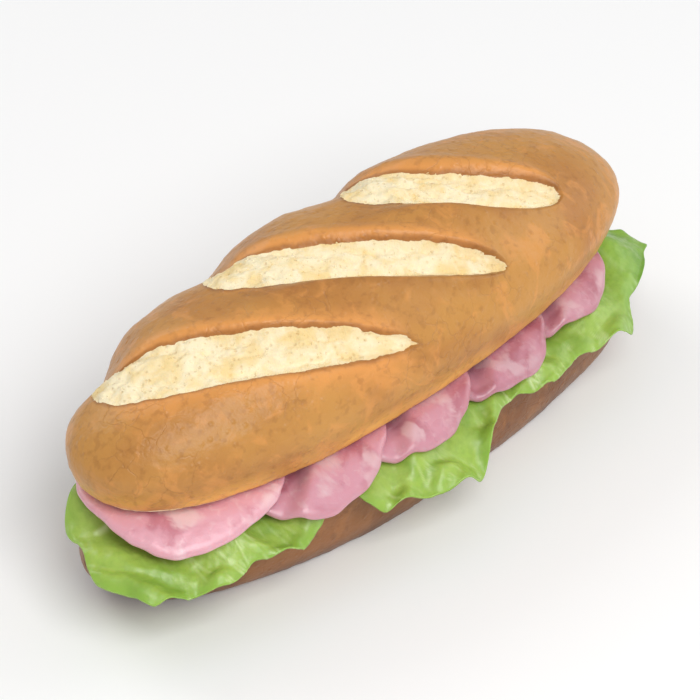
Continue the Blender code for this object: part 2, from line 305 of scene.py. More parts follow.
class Board:
    """Adds and joins the nodes of one tree."""

    def __init__(self, tree: Tree) -> None:
        """Takes the tree to work on."""
        self.tree = tree

    def add(self, kind: str, inputs: dict | None = None, **settings: object) -> Node:
        """Adds a node.

        Args:
            kind: Blender's name for the node.
            inputs: What goes into its sockets, by name or number: a value, or a socket to join.
            settings: The node's own properties.

        Returns:
            The node.
        """
        made = self.tree.nodes.new(kind)
        for name, value in settings.items():
            setattr(made, name, value)
        for key, value in (inputs or {}).items():
            if isinstance(value, Socket):
                self.tree.links.new(value, made.inputs[key])
            else:
                made.inputs[key].default_value = value
        return made

    def math(self, operation: str, *values: object, clamp: bool = False) -> Socket:
        """One sum on numbers or sockets, and its result."""
        made = self.add("ShaderNodeMath", dict(enumerate(values)), operation=operation, use_clamp=clamp)
        return made.outputs[0]

    def mix(self, share: object, first: object, second: object) -> Socket:
        """A colour between two, and its socket.

        Args:
            share: How much of the second shows.
            first: A colour or a socket.
            second: A colour or a socket.

        Returns:
            The socket.
        """
        first = (*first, 1.0) if isinstance(first, tuple) else first
        second = (*second, 1.0) if isinstance(second, tuple) else second
        made = self.add("ShaderNodeMix", {0: share, 6: first, 7: second}, data_type="RGBA")
        return made.outputs[2]

    def blend(self, share: object, first: object, second: object) -> Socket:
        """A number between two, and its socket."""
        made = self.add("ShaderNodeMix", {0: share, 2: first, 3: second}, data_type="FLOAT")
        return made.outputs[0]

    def dull(self, share: object, colour: object, tint: Colour) -> Socket:
        """A colour darkened towards its product with a tint, as painted shade, and its socket."""
        inputs = {0: share, 6: colour, 7: (*tint, 1.0)}
        return self.add("ShaderNodeMix", inputs, data_type="RGBA", blend_type="MULTIPLY").outputs[2]

    def fit(self, value: object, low: object, high: object, start: object = 0.0,
            end: object = 1.0) -> Socket:
        """Carries low to high smoothly onto start to end, and its socket."""
        inputs = {0: value, 1: low, 2: high, 3: start, 4: end}
        return self.add("ShaderNodeMapRange", inputs, interpolation_type="SMOOTHSTEP").outputs[0]

    def attribute(self, name: str) -> Socket:
        """A number painted on the mesh."""
        return self.add("ShaderNodeAttribute", attribute_name=name).outputs["Fac"]

    def store(self, geometry: Socket, name: str, value: object) -> Socket:
        """Paints a number on a geometry's points, and its socket."""
        inputs = {"Geometry": geometry, "Name": name, "Value": value}
        made = self.add("GeometryNodeStoreNamedAttribute", inputs, data_type="FLOAT", domain="POINT")
        return made.outputs[0]

    def join(self, value: Socket, node: Node, name: str) -> None:
        """Joins a socket to a node's named input."""
        self.tree.links.new(value, node.inputs[name])

    def bump(self, height: Socket, strength: float, depth: float, shader: Node) -> None:
        """Lets a height of 0 to 1 raise a shader's surface."""
        made = self.add("ShaderNodeBump", {"Strength": strength, "Distance": depth, "Height": height})
        self.join(made.outputs[0], shader, "Normal")

    def group(self, tree: Tree, **inputs: object) -> Node:
        """Places a shared group and fills its inputs, named with _ for a space.

        Args:
            tree: The group.
            inputs: Values or sockets by input name.

        Returns:
            The group's node.
        """
        made = self.add("ShaderNodeGroup", node_tree=tree)
        for name, value in inputs.items():
            socket = made.inputs[name.replace("_", " ")]
            if isinstance(value, Socket):
                self.tree.links.new(value, socket)
            else:
                socket.default_value = value
        return made


def open_tree(name: str, kind: str, inputs: dict, outputs: dict) -> tuple[Board, Node, Node]:
    """Starts a shared group or a geometry tree.

    Args:
        name: The tree's name.
        kind: "ShaderNodeTree" or "GeometryNodeTree".
        inputs: Socket kinds by name, or pairs of kind and starting value.
        outputs: Socket kinds by name.

    Returns:
        The board to build on, the group's input node and its output node.
    """
    tree = bpy.data.node_groups.new(name, kind)
    for label, wanted in inputs.items():
        socket_kind, value = wanted if isinstance(wanted, tuple) else (wanted, None)
        socket = tree.interface.new_socket(label, in_out="INPUT", socket_type=socket_kind)
        if value is not None:
            socket.default_value = value
    for label, socket_kind in outputs.items():
        tree.interface.new_socket(label, in_out="OUTPUT", socket_type=socket_kind)
    board = Board(tree)
    return board, board.add("NodeGroupInput"), board.add("NodeGroupOutput")


@dataclass
class SharedEffects:
    """Shader groups that more than one finish uses."""

    mottle: Tree
    grain: Tree
    pores: Tree
    craze: Tree

    @staticmethod
    def build() -> "SharedEffects":
        """Builds the four groups once."""
        own = SharedEffects
        return SharedEffects(own._mottle(), own._grain(), own._pores(), own._craze())

    @staticmethod
    def _mottle() -> Tree:
        """Soft patches: a mask that is 1 in them."""
        sockets = {"Vector": VECTOR, "Scale": (FLOAT, 60.0), "Detail": (FLOAT, 3.0), "Warp": (FLOAT, 0.0),
                   "Low": (FLOAT, 0.45), "High": (FLOAT, 0.6)}
        board, given, result = open_tree("Mottle", "ShaderNodeTree", sockets, {"Mask": FLOAT})
        pattern = board.add("ShaderNodeTexNoise", {
            "Vector": given.outputs["Vector"], "Scale": given.outputs["Scale"],
            "Detail": given.outputs["Detail"], "Distortion": given.outputs["Warp"]})
        mask = board.fit(pattern.outputs[0], given.outputs["Low"], given.outputs["High"])
        board.join(mask, result, "Mask")
        return board.tree

    @staticmethod
    def _grain() -> Tree:
        """Fine unevenness in two sizes, as a height of about 0 to 1."""
        sockets = {"Vector": VECTOR, "Coarse": (FLOAT, 300.0), "Fine": (FLOAT, 1500.0), "Share": (FLOAT, 0.4)}
        board, given, result = open_tree("Grain", "ShaderNodeTree", sockets, {"Height": FLOAT})
        coarse, fine = (board.add("ShaderNodeTexNoise", {
            "Vector": given.outputs["Vector"], "Scale": given.outputs[size], "Detail": 3.0}).outputs[0]
            for size in ("Coarse", "Fine"))
        board.join(board.blend(given.outputs["Share"], coarse, fine), result, "Height")
        return board.tree

    @staticmethod
    def _pores() -> Tree:
        """Small round pits of many sizes: a mask that is 1 in them."""
        sockets = {"Vector": VECTOR, "Scale": (FLOAT, 700.0), "Width": (FLOAT, 0.3), "Cover": (FLOAT, 0.5)}
        board, given, result = open_tree("Pores", "ShaderNodeTree", sockets, {"Mask": FLOAT})
        cells = board.add("ShaderNodeTexVoronoi", {
            "Vector": given.outputs["Vector"], "Scale": given.outputs["Scale"]})
        pick = board.add("ShaderNodeSeparateColor", {0: cells.outputs["Color"]})
        held = board.math("LESS_THAN", pick.outputs[0], given.outputs["Cover"])
        pit = board.fit(cells.outputs["Distance"], given.outputs["Width"], 0.0)
        board.join(board.math("MULTIPLY", held, pit), result, "Mask")
        return board.tree

    @staticmethod
    def _craze() -> Tree:
        """Fine wandering cracks: a mask that is 1 in them."""
        sockets = {"Vector": VECTOR, "Scale": (FLOAT, 90.0), "Width": (FLOAT, 0.05), "Warp": (FLOAT, 0.006),
                   "Warp Scale": (FLOAT, 160.0)}
        board, given, result = open_tree("Craze", "ShaderNodeTree", sockets, {"Mask": FLOAT})
        wander = board.add("ShaderNodeTexNoise", {
            "Vector": given.outputs["Vector"], "Scale": given.outputs["Warp Scale"], "Detail": 3.0})
        pushed = board.add("ShaderNodeVectorMath", {
            0: wander.outputs["Color"], "Scale": given.outputs["Warp"]}, operation="SCALE")
        moved = board.add("ShaderNodeVectorMath", {
            0: given.outputs["Vector"], 1: pushed.outputs[0]}, operation="ADD")
        cells = board.add("ShaderNodeTexVoronoi", {
            "Vector": moved.outputs[0], "Scale": given.outputs["Scale"]}, feature="DISTANCE_TO_EDGE")
        line = board.fit(cells.outputs["Distance"], given.outputs["Width"], 0.0)
        board.join(line, result, "Mask")
        return board.tree


def new_material(name: str) -> tuple[Material, Board, Node]:
    """Starts a material.

    Args:
        name: Its name.

    Returns:
        The material, a board on its nodes, and its shader.
    """
    material = bpy.data.materials.new(name)
    material.use_nodes = True
    return material, Board(material.node_tree), material.node_tree.nodes["Principled BSDF"]


# Finishes


@dataclass(frozen=True)
class Blotches:
    """Soft blotches: waves in a metre, finer layers, the levels they fade in between, warp and strength."""

    scale: float
    layers: float
    low: float
    high: float
    warp: float = 0.0
    strength: float = 1.0

    def mask(self, board: Board, effects: SharedEffects, place: Socket) -> Socket:
        """Places them on a board: their strength where they lie, 0 elsewhere.

        Args:
            board: The board.
            effects: The shared shader groups.
            place: Where on the piece a point is.

        Returns:
            The mask's socket.
        """
        made = board.group(effects.mottle, Vector=place, Scale=self.scale, Detail=self.layers,
                           Warp=self.warp, Low=self.low, High=self.high)
        return board.math("MULTIPLY", made.outputs[0], self.strength)


@dataclass(frozen=True)
class Pits:
    """Small round pits: cells in a metre, their width in a cell, and the share of cells that has one."""

    scale: float
    width: float
    cover: float

    def mask(self, board: Board, effects: SharedEffects, place: Socket) -> Socket:
        """Places them on a board: 1 in them, 0 elsewhere."""
        made = board.group(effects.pores, Vector=place, Scale=self.scale, Width=self.width, Cover=self.cover)
        return made.outputs[0]


@dataclass(frozen=True)
class Grain:
    """Fine relief of two sizes, in waves in a metre, and the share that the finer one has."""

    coarse: float
    fine: float
    share: float

    def height(self, board: Board, effects: SharedEffects, place: Socket) -> Socket:
        """Places it on a board, as a height of about 0 to 1."""
        made = board.group(effects.grain, Vector=place, Coarse=self.coarse, Fine=self.fine, Share=self.share)
        return made.outputs[0]


@dataclass(frozen=True)
class Flesh:
    """How far light sinks in, by colour, and how wet the surface is."""

    weight: float
    radius: Colour
    depth: float
    coat: float = 0.0
    coat_roughness: float = 0.2

    def dress(self, shader: Node) -> None:
        """Sets a shader's inputs."""
        values = {"Subsurface Weight": self.weight, "Subsurface Radius": self.radius,
                  "Subsurface Scale": self.depth, "Coat Weight": self.coat,
                  "Coat Roughness": self.coat_roughness}
        for name, value in values.items():
            shader.inputs[name].default_value = value


@dataclass(frozen=True)
class CrustFinish:
    """Baked crust with the pale bread that shows where it is slashed or cut, with painted highlights and
    painted shade.
    """

    name: str
    golden: Colour
    deep: Colour
    # painted highlight: the pale orange beside the slashes on their lit side; the veils reuse this colour
    streak: Colour
    # painted highlight: the lighter colour along the lower edge, where the crust turns away from the light
    rim: Colour
    # the dark of scorched edges, the darker bottom, cracks and specks, and of the painted shade band beside
    # slashes
    scorch_and_painted_shade: Colour
    bread: Colour = shade(250, 236, 200)
    bread_deep: Colour = shade(242, 216, 158)
    # painted shade: the darker tan put into the crumb's pores
    pit: Colour = shade(222, 182, 118)
    satin: float = 0.38
    matt: float = 0.85
    shine: float = 0.35
    browning: Blotches = Blotches(30.0, 4.0, 0.38, 0.68, warp=0.4)
    veils: Blotches = Blotches(95.0, 5.0, 0.5, 0.66, warp=1.4, strength=0.4)
    speckle: Blotches = Blotches(420.0, 2.0, 0.52, 0.72, strength=0.24)
    crazed: Blotches = Blotches(38.0, 2.0, 0.46, 0.6)
    crack_scale: float = 130.0
    crack_width: float = 0.05
    crack_warp: float = 0.009
    crack_tint: float = 0.14
    crack_depth: float = 0.18
    torn: Blotches = Blotches(160.0, 4.0, 0.35, 0.7, warp=0.6)
    holes: Pits = Pits(620.0, 0.36, 0.5)
    # painted shade: how much the pores are darkened
    pore_shade: float = 0.4
    hole_depth: float = 0.6
    fibre: Grain = Grain(700.0, 2400.0, 0.4)
    ragged: float = 0.5
    bread_from: float = 0.42
    bread_to: float = 0.58
    skin: Grain = Grain(230.0, 1100.0, 0.35)
    skin_rise: float = 0.8
    blisters: Pits = Pits(430.0, 0.42, 0.4)
    blister_rise: float = 0.4
    bump_strength: float = 0.7
    bump_depth: float = 0.0006
    flesh: Flesh = Flesh(0.06, (1.0, 0.6, 0.3), 0.002)

    def build(self, effects: SharedEffects) -> Material:
        """Builds the material.

        Args:
            effects: The shared shader groups.

        Returns:
            The material.
        """
        material, board, shader = new_material(self.name)
        place = board.add("ShaderNodeTexCoord").outputs["Object"]
        crust, cracks = self._crust(board, effects, place)
        holes = self.holes.mask(board, effects, place)
        fibre = self.fibre.height(board, effects, place)
        bread = board.mix(self.torn.mask(board, effects, place), self.bread, self.bread_deep)
        # painted shade in the pores
        bread = board.mix(board.math("MULTIPLY", holes, self.pore_shade), bread, self.pit)
        wandering = board.math("MULTIPLY_ADD", fibre, self.ragged, -self.ragged / 2)
        shifted = board.math("ADD", board.attribute("bread"), wandering)
        open_bread = board.fit(shifted, self.bread_from, self.bread_to)
        board.join(board.mix(open_bread, crust, bread), shader, "Base Color")
        board.join(board.blend(open_bread, self.satin, self.matt), shader, "Roughness")

        skin = board.math("MULTIPLY", self.skin.height(board, effects, place), self.skin_rise)
        blisters = self.blisters.mask(board, effects, place)
        raised = board.math("MULTIPLY_ADD", blisters, self.blister_rise, skin)
        raised = board.math("MULTIPLY_ADD", cracks, -self.crack_depth, raised)
        crumb = board.math("SUBTRACT", fibre, board.math("MULTIPLY", holes, self.hole_depth))
        board.bump(board.blend(open_bread, raised, crumb), self.bump_strength, self.bump_depth, shader)
        self.flesh.dress(shader)
        shader.inputs["Specular IOR Level"].default_value = self.shine
        return material

    def _crust(self, board: Board, effects: SharedEffects, place: Socket) -> tuple[Socket, Socket]:
        """Lays the crust's colours over one another, painted highlights and painted shade among them.

        Args:
            board: The board to build on.
            effects: The shared shader groups.
            place: Where on the piece a point is.

        Returns:
            The crust's colour, and the mask of its fine cracks.
        """
        crust = board.mix(self.browning.mask(board, effects, place), self.golden, self.deep)
        # painted highlight beside the slashes
        crust = board.mix(board.attribute("streak"), crust, self.streak)
        # painted highlight along the lower edge
        crust = board.mix(board.attribute("rim"), crust, self.rim)
        # real paler patches, in the painted highlight's colour
        crust = board.mix(self.veils.mask(board, effects, place), crust, self.streak)
        lines = board.group(effects.craze, Vector=place, Scale=self.crack_scale, Width=self.crack_width,
                            Warp=self.crack_warp)
        cracks = board.math("MULTIPLY", lines.outputs[0], self.crazed.mask(board, effects, place))
        # cracks and specks are real; the last share is real scorching plus the painted shade band beside
        # slashes
        darker = (board.math("MULTIPLY", cracks, self.crack_tint), self.speckle.mask(board, effects, place),
                  board.attribute("bake"))
        for share in darker:
            crust = board.mix(share, crust, self.scorch_and_painted_shade)
        return crust, cracks


@dataclass(frozen=True)
class HamFinish:
    """Moist cooked ham: pink, with pale fat in blotches and fine grain, and painted shade on some slices."""

    name: str = "ham_meat"
    pink: Colour = shade(228, 168, 182)
    red: Colour = shade(192, 112, 128)
    pale: Colour = shade(240, 208, 212)
    edge: Colour = shade(222, 166, 176)
    # painted shade: the tint that darkens each slice by its own share, standing in for shade from the roll
    dull: Colour = (0.62, 0.50, 0.55)
    redness: Blotches = Blotches(85.0, 4.0, 0.45, 0.66, warp=0.3, strength=0.75)
    flecks: Blotches = Blotches(420.0, 3.0, 0.56, 0.74, warp=0.5, strength=0.35)
    fat: Blotches = Blotches(125.0, 4.0, 0.51, 0.64, warp=0.35, strength=0.8)
    fat_stretch: tuple[float, float, float] = (1.0, 0.7, 1.0)
    edge_share: float = 0.6
    wet: Blotches = Blotches(140.0, 2.0, 0.3, 0.7)
    smooth: float = 0.26
    rough: float = 0.42
    skin: Grain = Grain(380.0, 1500.0, 0.35)
    bump_strength: float = 0.35
    bump_depth: float = 0.0004
    flesh: Flesh = Flesh(0.22, (1.0, 0.35, 0.3), 0.002, 0.25, 0.2)

    def build(self, effects: SharedEffects) -> Material:
        """Builds the material.

        Args:
            effects: The shared shader groups.

        Returns:
            The material.
        """
        material, board, shader = new_material(self.name)
        place = board.add("ShaderNodeTexCoord").outputs["Object"]
        stretched = board.add("ShaderNodeMapping", {"Vector": place, "Scale": self.fat_stretch}).outputs[0]
        meat = board.mix(self.redness.mask(board, effects, place), self.pink, self.red)
        meat = board.mix(self.flecks.mask(board, effects, place), meat, self.pale)
        meat = board.mix(self.fat.mask(board, effects, stretched), meat, self.pale)
        meat = board.mix(board.math("MULTIPLY", board.attribute("edge"), self.edge_share), meat, self.edge)
        # painted shade: each slice darkened by its own share
        meat = board.dull(board.attribute("dull"), meat, self.dull)
        board.join(meat, shader, "Base Color")
        wet = self.wet.mask(board, effects, place)
        board.join(board.blend(wet, self.smooth, self.rough), shader, "Roughness")
        board.bump(self.skin.height(board, effects, place), self.bump_strength, self.bump_depth, shader)
        self.flesh.dress(shader)
        return material


@dataclass(frozen=True)
class LettuceFinish:
    """Fresh lettuce: bright green, deeper in patches, paler along its ribs, with painted shade towards the
    right end.
    """

    name: str = "lettuce_green"
    green: Colour = shade(166, 195, 85)
    deep: Colour = shade(120, 161, 56)
    rib: Colour = shade(214, 230, 166)
    tip: Colour = shade(141, 180, 65)
    # painted shade: the tint that darkens the leaf towards the roll's right end
    dull: Colour = (0.72, 0.86, 0.72)
    patches: Blotches = Blotches(70.0, 4.0, 0.42, 0.7, warp=0.5, strength=0.7)
    cells: Blotches = Blotches(520.0, 2.0, 0.4, 0.7)
    cell_share: float = 0.25
    edge_share: float = 0.6
    smooth: float = 0.34
    rough: float = 0.46
    skin: Grain = Grain(420.0, 1700.0, 0.3)
    bump_strength: float = 0.4
    bump_depth: float = 0.0004
    flesh: Flesh = Flesh(0.25, (0.5, 1.0, 0.2), 0.0015, 0.12, 0.25)

    def build(self, effects: SharedEffects) -> Material:
        """Builds the material.

        Args:
            effects: The shared shader groups.

        Returns:
            The material.
        """
        material, board, shader = new_material(self.name)
        place = board.add("ShaderNodeTexCoord").outputs["Object"]
        cells = self.cells.mask(board, effects, place)
        leaf = board.mix(self.patches.mask(board, effects, place), self.green, self.deep)
        leaf = board.mix(board.math("MULTIPLY", cells, self.cell_share), leaf, self.deep)
        leaf = board.mix(board.math("MULTIPLY", board.attribute("edge"), self.edge_share), leaf, self.tip)
        leaf = board.mix(board.attribute("rib"), leaf, self.rib)
        # painted shade towards the right end
        leaf = board.dull(board.attribute("dull"), leaf, self.dull)
        board.join(leaf, shader, "Base Color")
        board.join(board.blend(cells, self.smooth, self.rough), shader, "Roughness")
        board.bump(self.skin.height(board, effects, place), self.bump_strength, self.bump_depth, shader)
        self.flesh.dress(shader)
        return material


# The roll


@dataclass(frozen=True)
class RollPlan:
    """A half's outline seen from above, with an exponent for each end."""

    length: float = 0.190
    width: float = 0.068
    left_power: float = 2.25
    right_power: float = 2.25

    def power(self, x: Array) -> Array:
        """The outline's exponent at places along the roll."""
        return np.where(x > 0, self.right_power, self.left_power)

    def outside(self, x: Array, y: Array) -> Array:
        """How far points lie outside the outline."""
        return oval_distance(x, y, self.length / 2, self.width / 2, self.power(x))


@dataclass(frozen=True)
class Slash:
    """One slash across the crown, from its near tip to its far one, with the dent in which it runs out."""

    near: tuple[float, float]
    far: tuple[float, float]
    bow: float
    half_width: float
    skew: float
    depth: float
    dent: tuple[float, float]
    dent_depth: float
    fan: float
    # painted shade: 1 where a darker band is painted along the slash's near side
    shaded: float
    blunt: float = 0.34
    fan_from: float = 0.45
    fan_most: float = 1.2

    def place(self, x: Array, y: Array) -> tuple[Array, Array]:
        """Where points lie on the slash.

        Args:
            x: Places along the roll.
            y: Places across it.

        Returns:
            Shares of the way from near to far tip, and offsets across, eased where the slash fans out.
        """
        start, end = np.array(self.near), np.array(self.far)
        run = np.linalg.norm(end - start)
        along = (end - start) / run
        share = ((x - start[0]) * along[0] + (y - start[1]) * along[1]) / run
        offset = along[0] * (y - start[1]) - along[1] * (x - start[0])
        bowed = offset - self.bow * 4 * share * (1 - share)
        late = np.clip((share - self.fan_from) / (1 - self.fan_from), 0.0, self.fan_most)
        return share, np.where(bowed > 0, bowed / (1 + self.fan * late**2), bowed)

    def taper(self, share: Array) -> Array:
        """How wide the slash is along its run, from 0 at its tips to 1."""
        skewed = np.clip(share, 0.0, 1.0) ** self.skew
        return (4 * skewed * (1 - skewed)) ** self.blunt


@dataclass(frozen=True)
class SlashedCrown:
    """The relief, the scorching and the painted highlights and shade of the slashed crust."""

    slashes: tuple[Slash, ...] = (
        Slash(near=(-0.0075, -0.0304), far=(-0.0800, 0.0149), bow=0.0059, half_width=0.0075, skew=2.4,
              depth=0.0032, dent=(-0.0720, 0.0215), dent_depth=0.0045, fan=0.8, shaded=0.0),
        Slash(near=(0.0281, -0.0270), far=(-0.0349, 0.0220), bow=0.0045, half_width=0.0068, skew=1.6,
              depth=0.0029, dent=(-0.0285, 0.0270), dent_depth=0.0038, fan=1.5, shaded=1.0),
        Slash(near=(0.0596, -0.0178), far=(0.0186, 0.0249), bow=0.0062, half_width=0.0080, skew=1.2,
              depth=0.0028, dent=(0.0165, 0.0262), dent_depth=0.0028, fan=2.0, shaded=1.0),
    )
    pillow: float = 0.0021
    lip: float = 0.0007
    lip_place: float = 1.55
    lip_width: float = 0.35
    overrun: float = 1.25
    shallow_from: float = 0.45
    shallow_over: float = 0.55
    shallow: float = 0.85
    dent_spread: float = 0.010
    sunk_from: float = 1.45
    sunk_over: float = 0.80
    bread_swell: float = 0.0016
    crust_step: float = 0.0005
    edge_soft: float = 0.0004
    fray: float = 0.0004
    fray_scale: float = 190.0
    torn: float = 0.0010
    strands_along: float = 9.0
    strands_across: float = 260.0
    fibre: float = 0.0004
    fibre_scale: float = 420.0
    pit: float = 0.0011
    pit_scale: float = 330.0
    pit_from: float = 0.16
    pit_most: float = 0.5
    tip_rise: float = 7.0
    # painted highlight: how far the pale band reaches past a slash's bread
    painted_highlight_width: float = 0.0034
    shade_soft: float = 0.002
    scorch_place: float = 0.0002
    scorch_width: float = 0.0006
    scorch_bake: float = 0.6
    # painted shade: the darker band on a slash's shaded side: its place, width, strength and evenness
    band_place: float = 0.0022
    band_width: float = 0.0022
    painted_shade_strength: float = 0.30
    band_even: float = 0.7
    band_fray: float = 0.3

    def shape(self, points: Array) -> tuple[Array, Array, Array, Array]:
        """Works out the slashes at points of the crown.

        Args:
            points: Places on the plain dome, one a row.

        Returns:
            The height over the dome, how much bread shows, the painted highlight, and the scorching with the
            painted shade band.
        """
        x, y = points[:, 0], points[:, 1]
        height = np.full(len(x), self.pillow)
        bread, streak, scorch_and_painted_shade = (np.zeros(len(x)) for _ in range(3))
        wander = drift(points, self.fray_scale, seed=4.0, octaves=3)
        for number, slash in enumerate(self.slashes):
            from_dent = np.hypot(x - slash.dent[0], y - slash.dent[1])
            height -= slash.dent_depth * bump_at(from_dent, 0.0, self.dent_spread)
            share, offset = slash.place(x, y)
            height -= self._sink(slash, share, offset)
            taper = slash.taper(share)
            held = taper > CLOSED
            width = np.maximum(slash.half_width * taper, NARROW)
            past_edge = np.abs(offset) - width + self.fray * wander
            inside = smooth_step(0.5 - past_edge / self.edge_soft)
            swell = self.bread_swell * np.clip(1 - (offset / width) ** 2, 0.0, 1.0) * taper
            torn = self._torn(points, number, share, offset) * np.minimum(1.0, taper * 2)
            lift = inside * (swell + torn - self.crust_step * taper**0.5)
            painted_highlight_share, scorch_and_shade_band = self._painted_light_and_scorch(slash, share, offset, past_edge, wander)
            height += np.where(held, lift, 0.0)
            bread = np.maximum(bread, np.where(held, inside, 0.0))
            # painted highlight beside the slash; then real scorching with the painted shade band
            streak = np.maximum(streak, np.where(held, painted_highlight_share, 0.0))
            scorch_and_painted_shade = np.maximum(scorch_and_painted_shade, np.where(held, scorch_and_shade_band, 0.0))
        return height, bread, streak, scorch_and_painted_shade

    def _sink(self, slash: Slash, share: Array, offset: Array) -> Array:
        """Works out how far the crust sinks along a slash, less the lips beside it.

        Args:
            slash: The slash.
            share: Shares of the way from near to far tip.
            offset: Offsets across it.

        Returns:
            Depths under the crown.
        """
        valley = slash.taper(share / self.overrun)
        across = np.abs(offset) / np.maximum(slash.half_width * valley, NARROW)
        sunk = smooth_step((self.sunk_from - across) / self.sunk_over)
        lip = bump_at(across, self.lip_place, self.lip_width)
        deep = 1 - self.shallow * smooth_step((share - self.shallow_from) / self.shallow_over)
        sink = (slash.depth + self.pillow) * sunk - self.lip * lip
        return np.where(valley > CLOSED, valley**0.5 * deep * sink, 0.0)

    def _torn(self, points: Array, number: int, share: Array, offset: Array) -> Array:
        """Works out the torn bread's relief: strands along the slash, fine fibres and pits.

        Args:
            points: Places on the plain dome, one a row.
            number: Which slash it is, so that no two have the same strands.
            share: Shares of the way from near to far tip.
            offset: Offsets across the slash.

        Returns:
            Heights over the slash's bread.
        """
        apart = np.full(len(share), 7.0 * number)
        strands = as_rows(share * self.strands_along, offset * self.strands_across, apart)
        torn = self.torn * drift(strands, 1.0, seed=2.0 + number, octaves=3)
        torn += self.fibre * drift(points, self.fibre_scale, seed=9.0, octaves=2)
        pits = drift(points, self.pit_scale, seed=15.0, octaves=2) - self.pit_from
        return torn - self.pit * np.clip(pits, 0.0, self.pit_most)

    def _painted_light_and_scorch(self, slash: Slash, share: Array, offset: Array, past_edge: Array,
                wander: Array) -> tuple[Array, Array]:
        """Works out the painted highlight, the scorched edge and the painted shade band that one slash leaves
        on the crust.

        Args:
            slash: The slash.
            share: Shares of the way from near to far tip.
            offset: Offsets across it.
            past_edge: Distances past the edge of its bread.
            wander: A slow swelling of about -1 to 1 that breaks up the painted shade band.

        Returns:
            The painted highlight round its bread, and the scorched edge with the painted shade band on its
            shaded side.
        """
        reach = smooth_step(np.minimum(share, 1 - share) * self.tip_rise)
        # painted shade falls on the slash's near side
        shaded = slash.shaded * smooth_step(0.5 + offset / self.shade_soft)
        # painted highlight: full over the bread, falling off past its edge
        pale = np.where(past_edge > 0, bump_at(past_edge, 0.0, self.painted_highlight_width), 1.0)
        painted_shade_band = bump_at(past_edge, self.band_place, self.band_width) * shaded * reach
        painted_shade_band = self.painted_shade_strength * np.clip(painted_shade_band * (self.band_even + self.band_fray * wander), 0.0, 1.0)
        edge = self.scorch_bake * bump_at(past_edge, self.scorch_place, self.scorch_width)
        return pale * reach * (1 - shaded), np.maximum(edge * np.minimum(1.0, slash.taper(share) * 3), painted_shade_band)


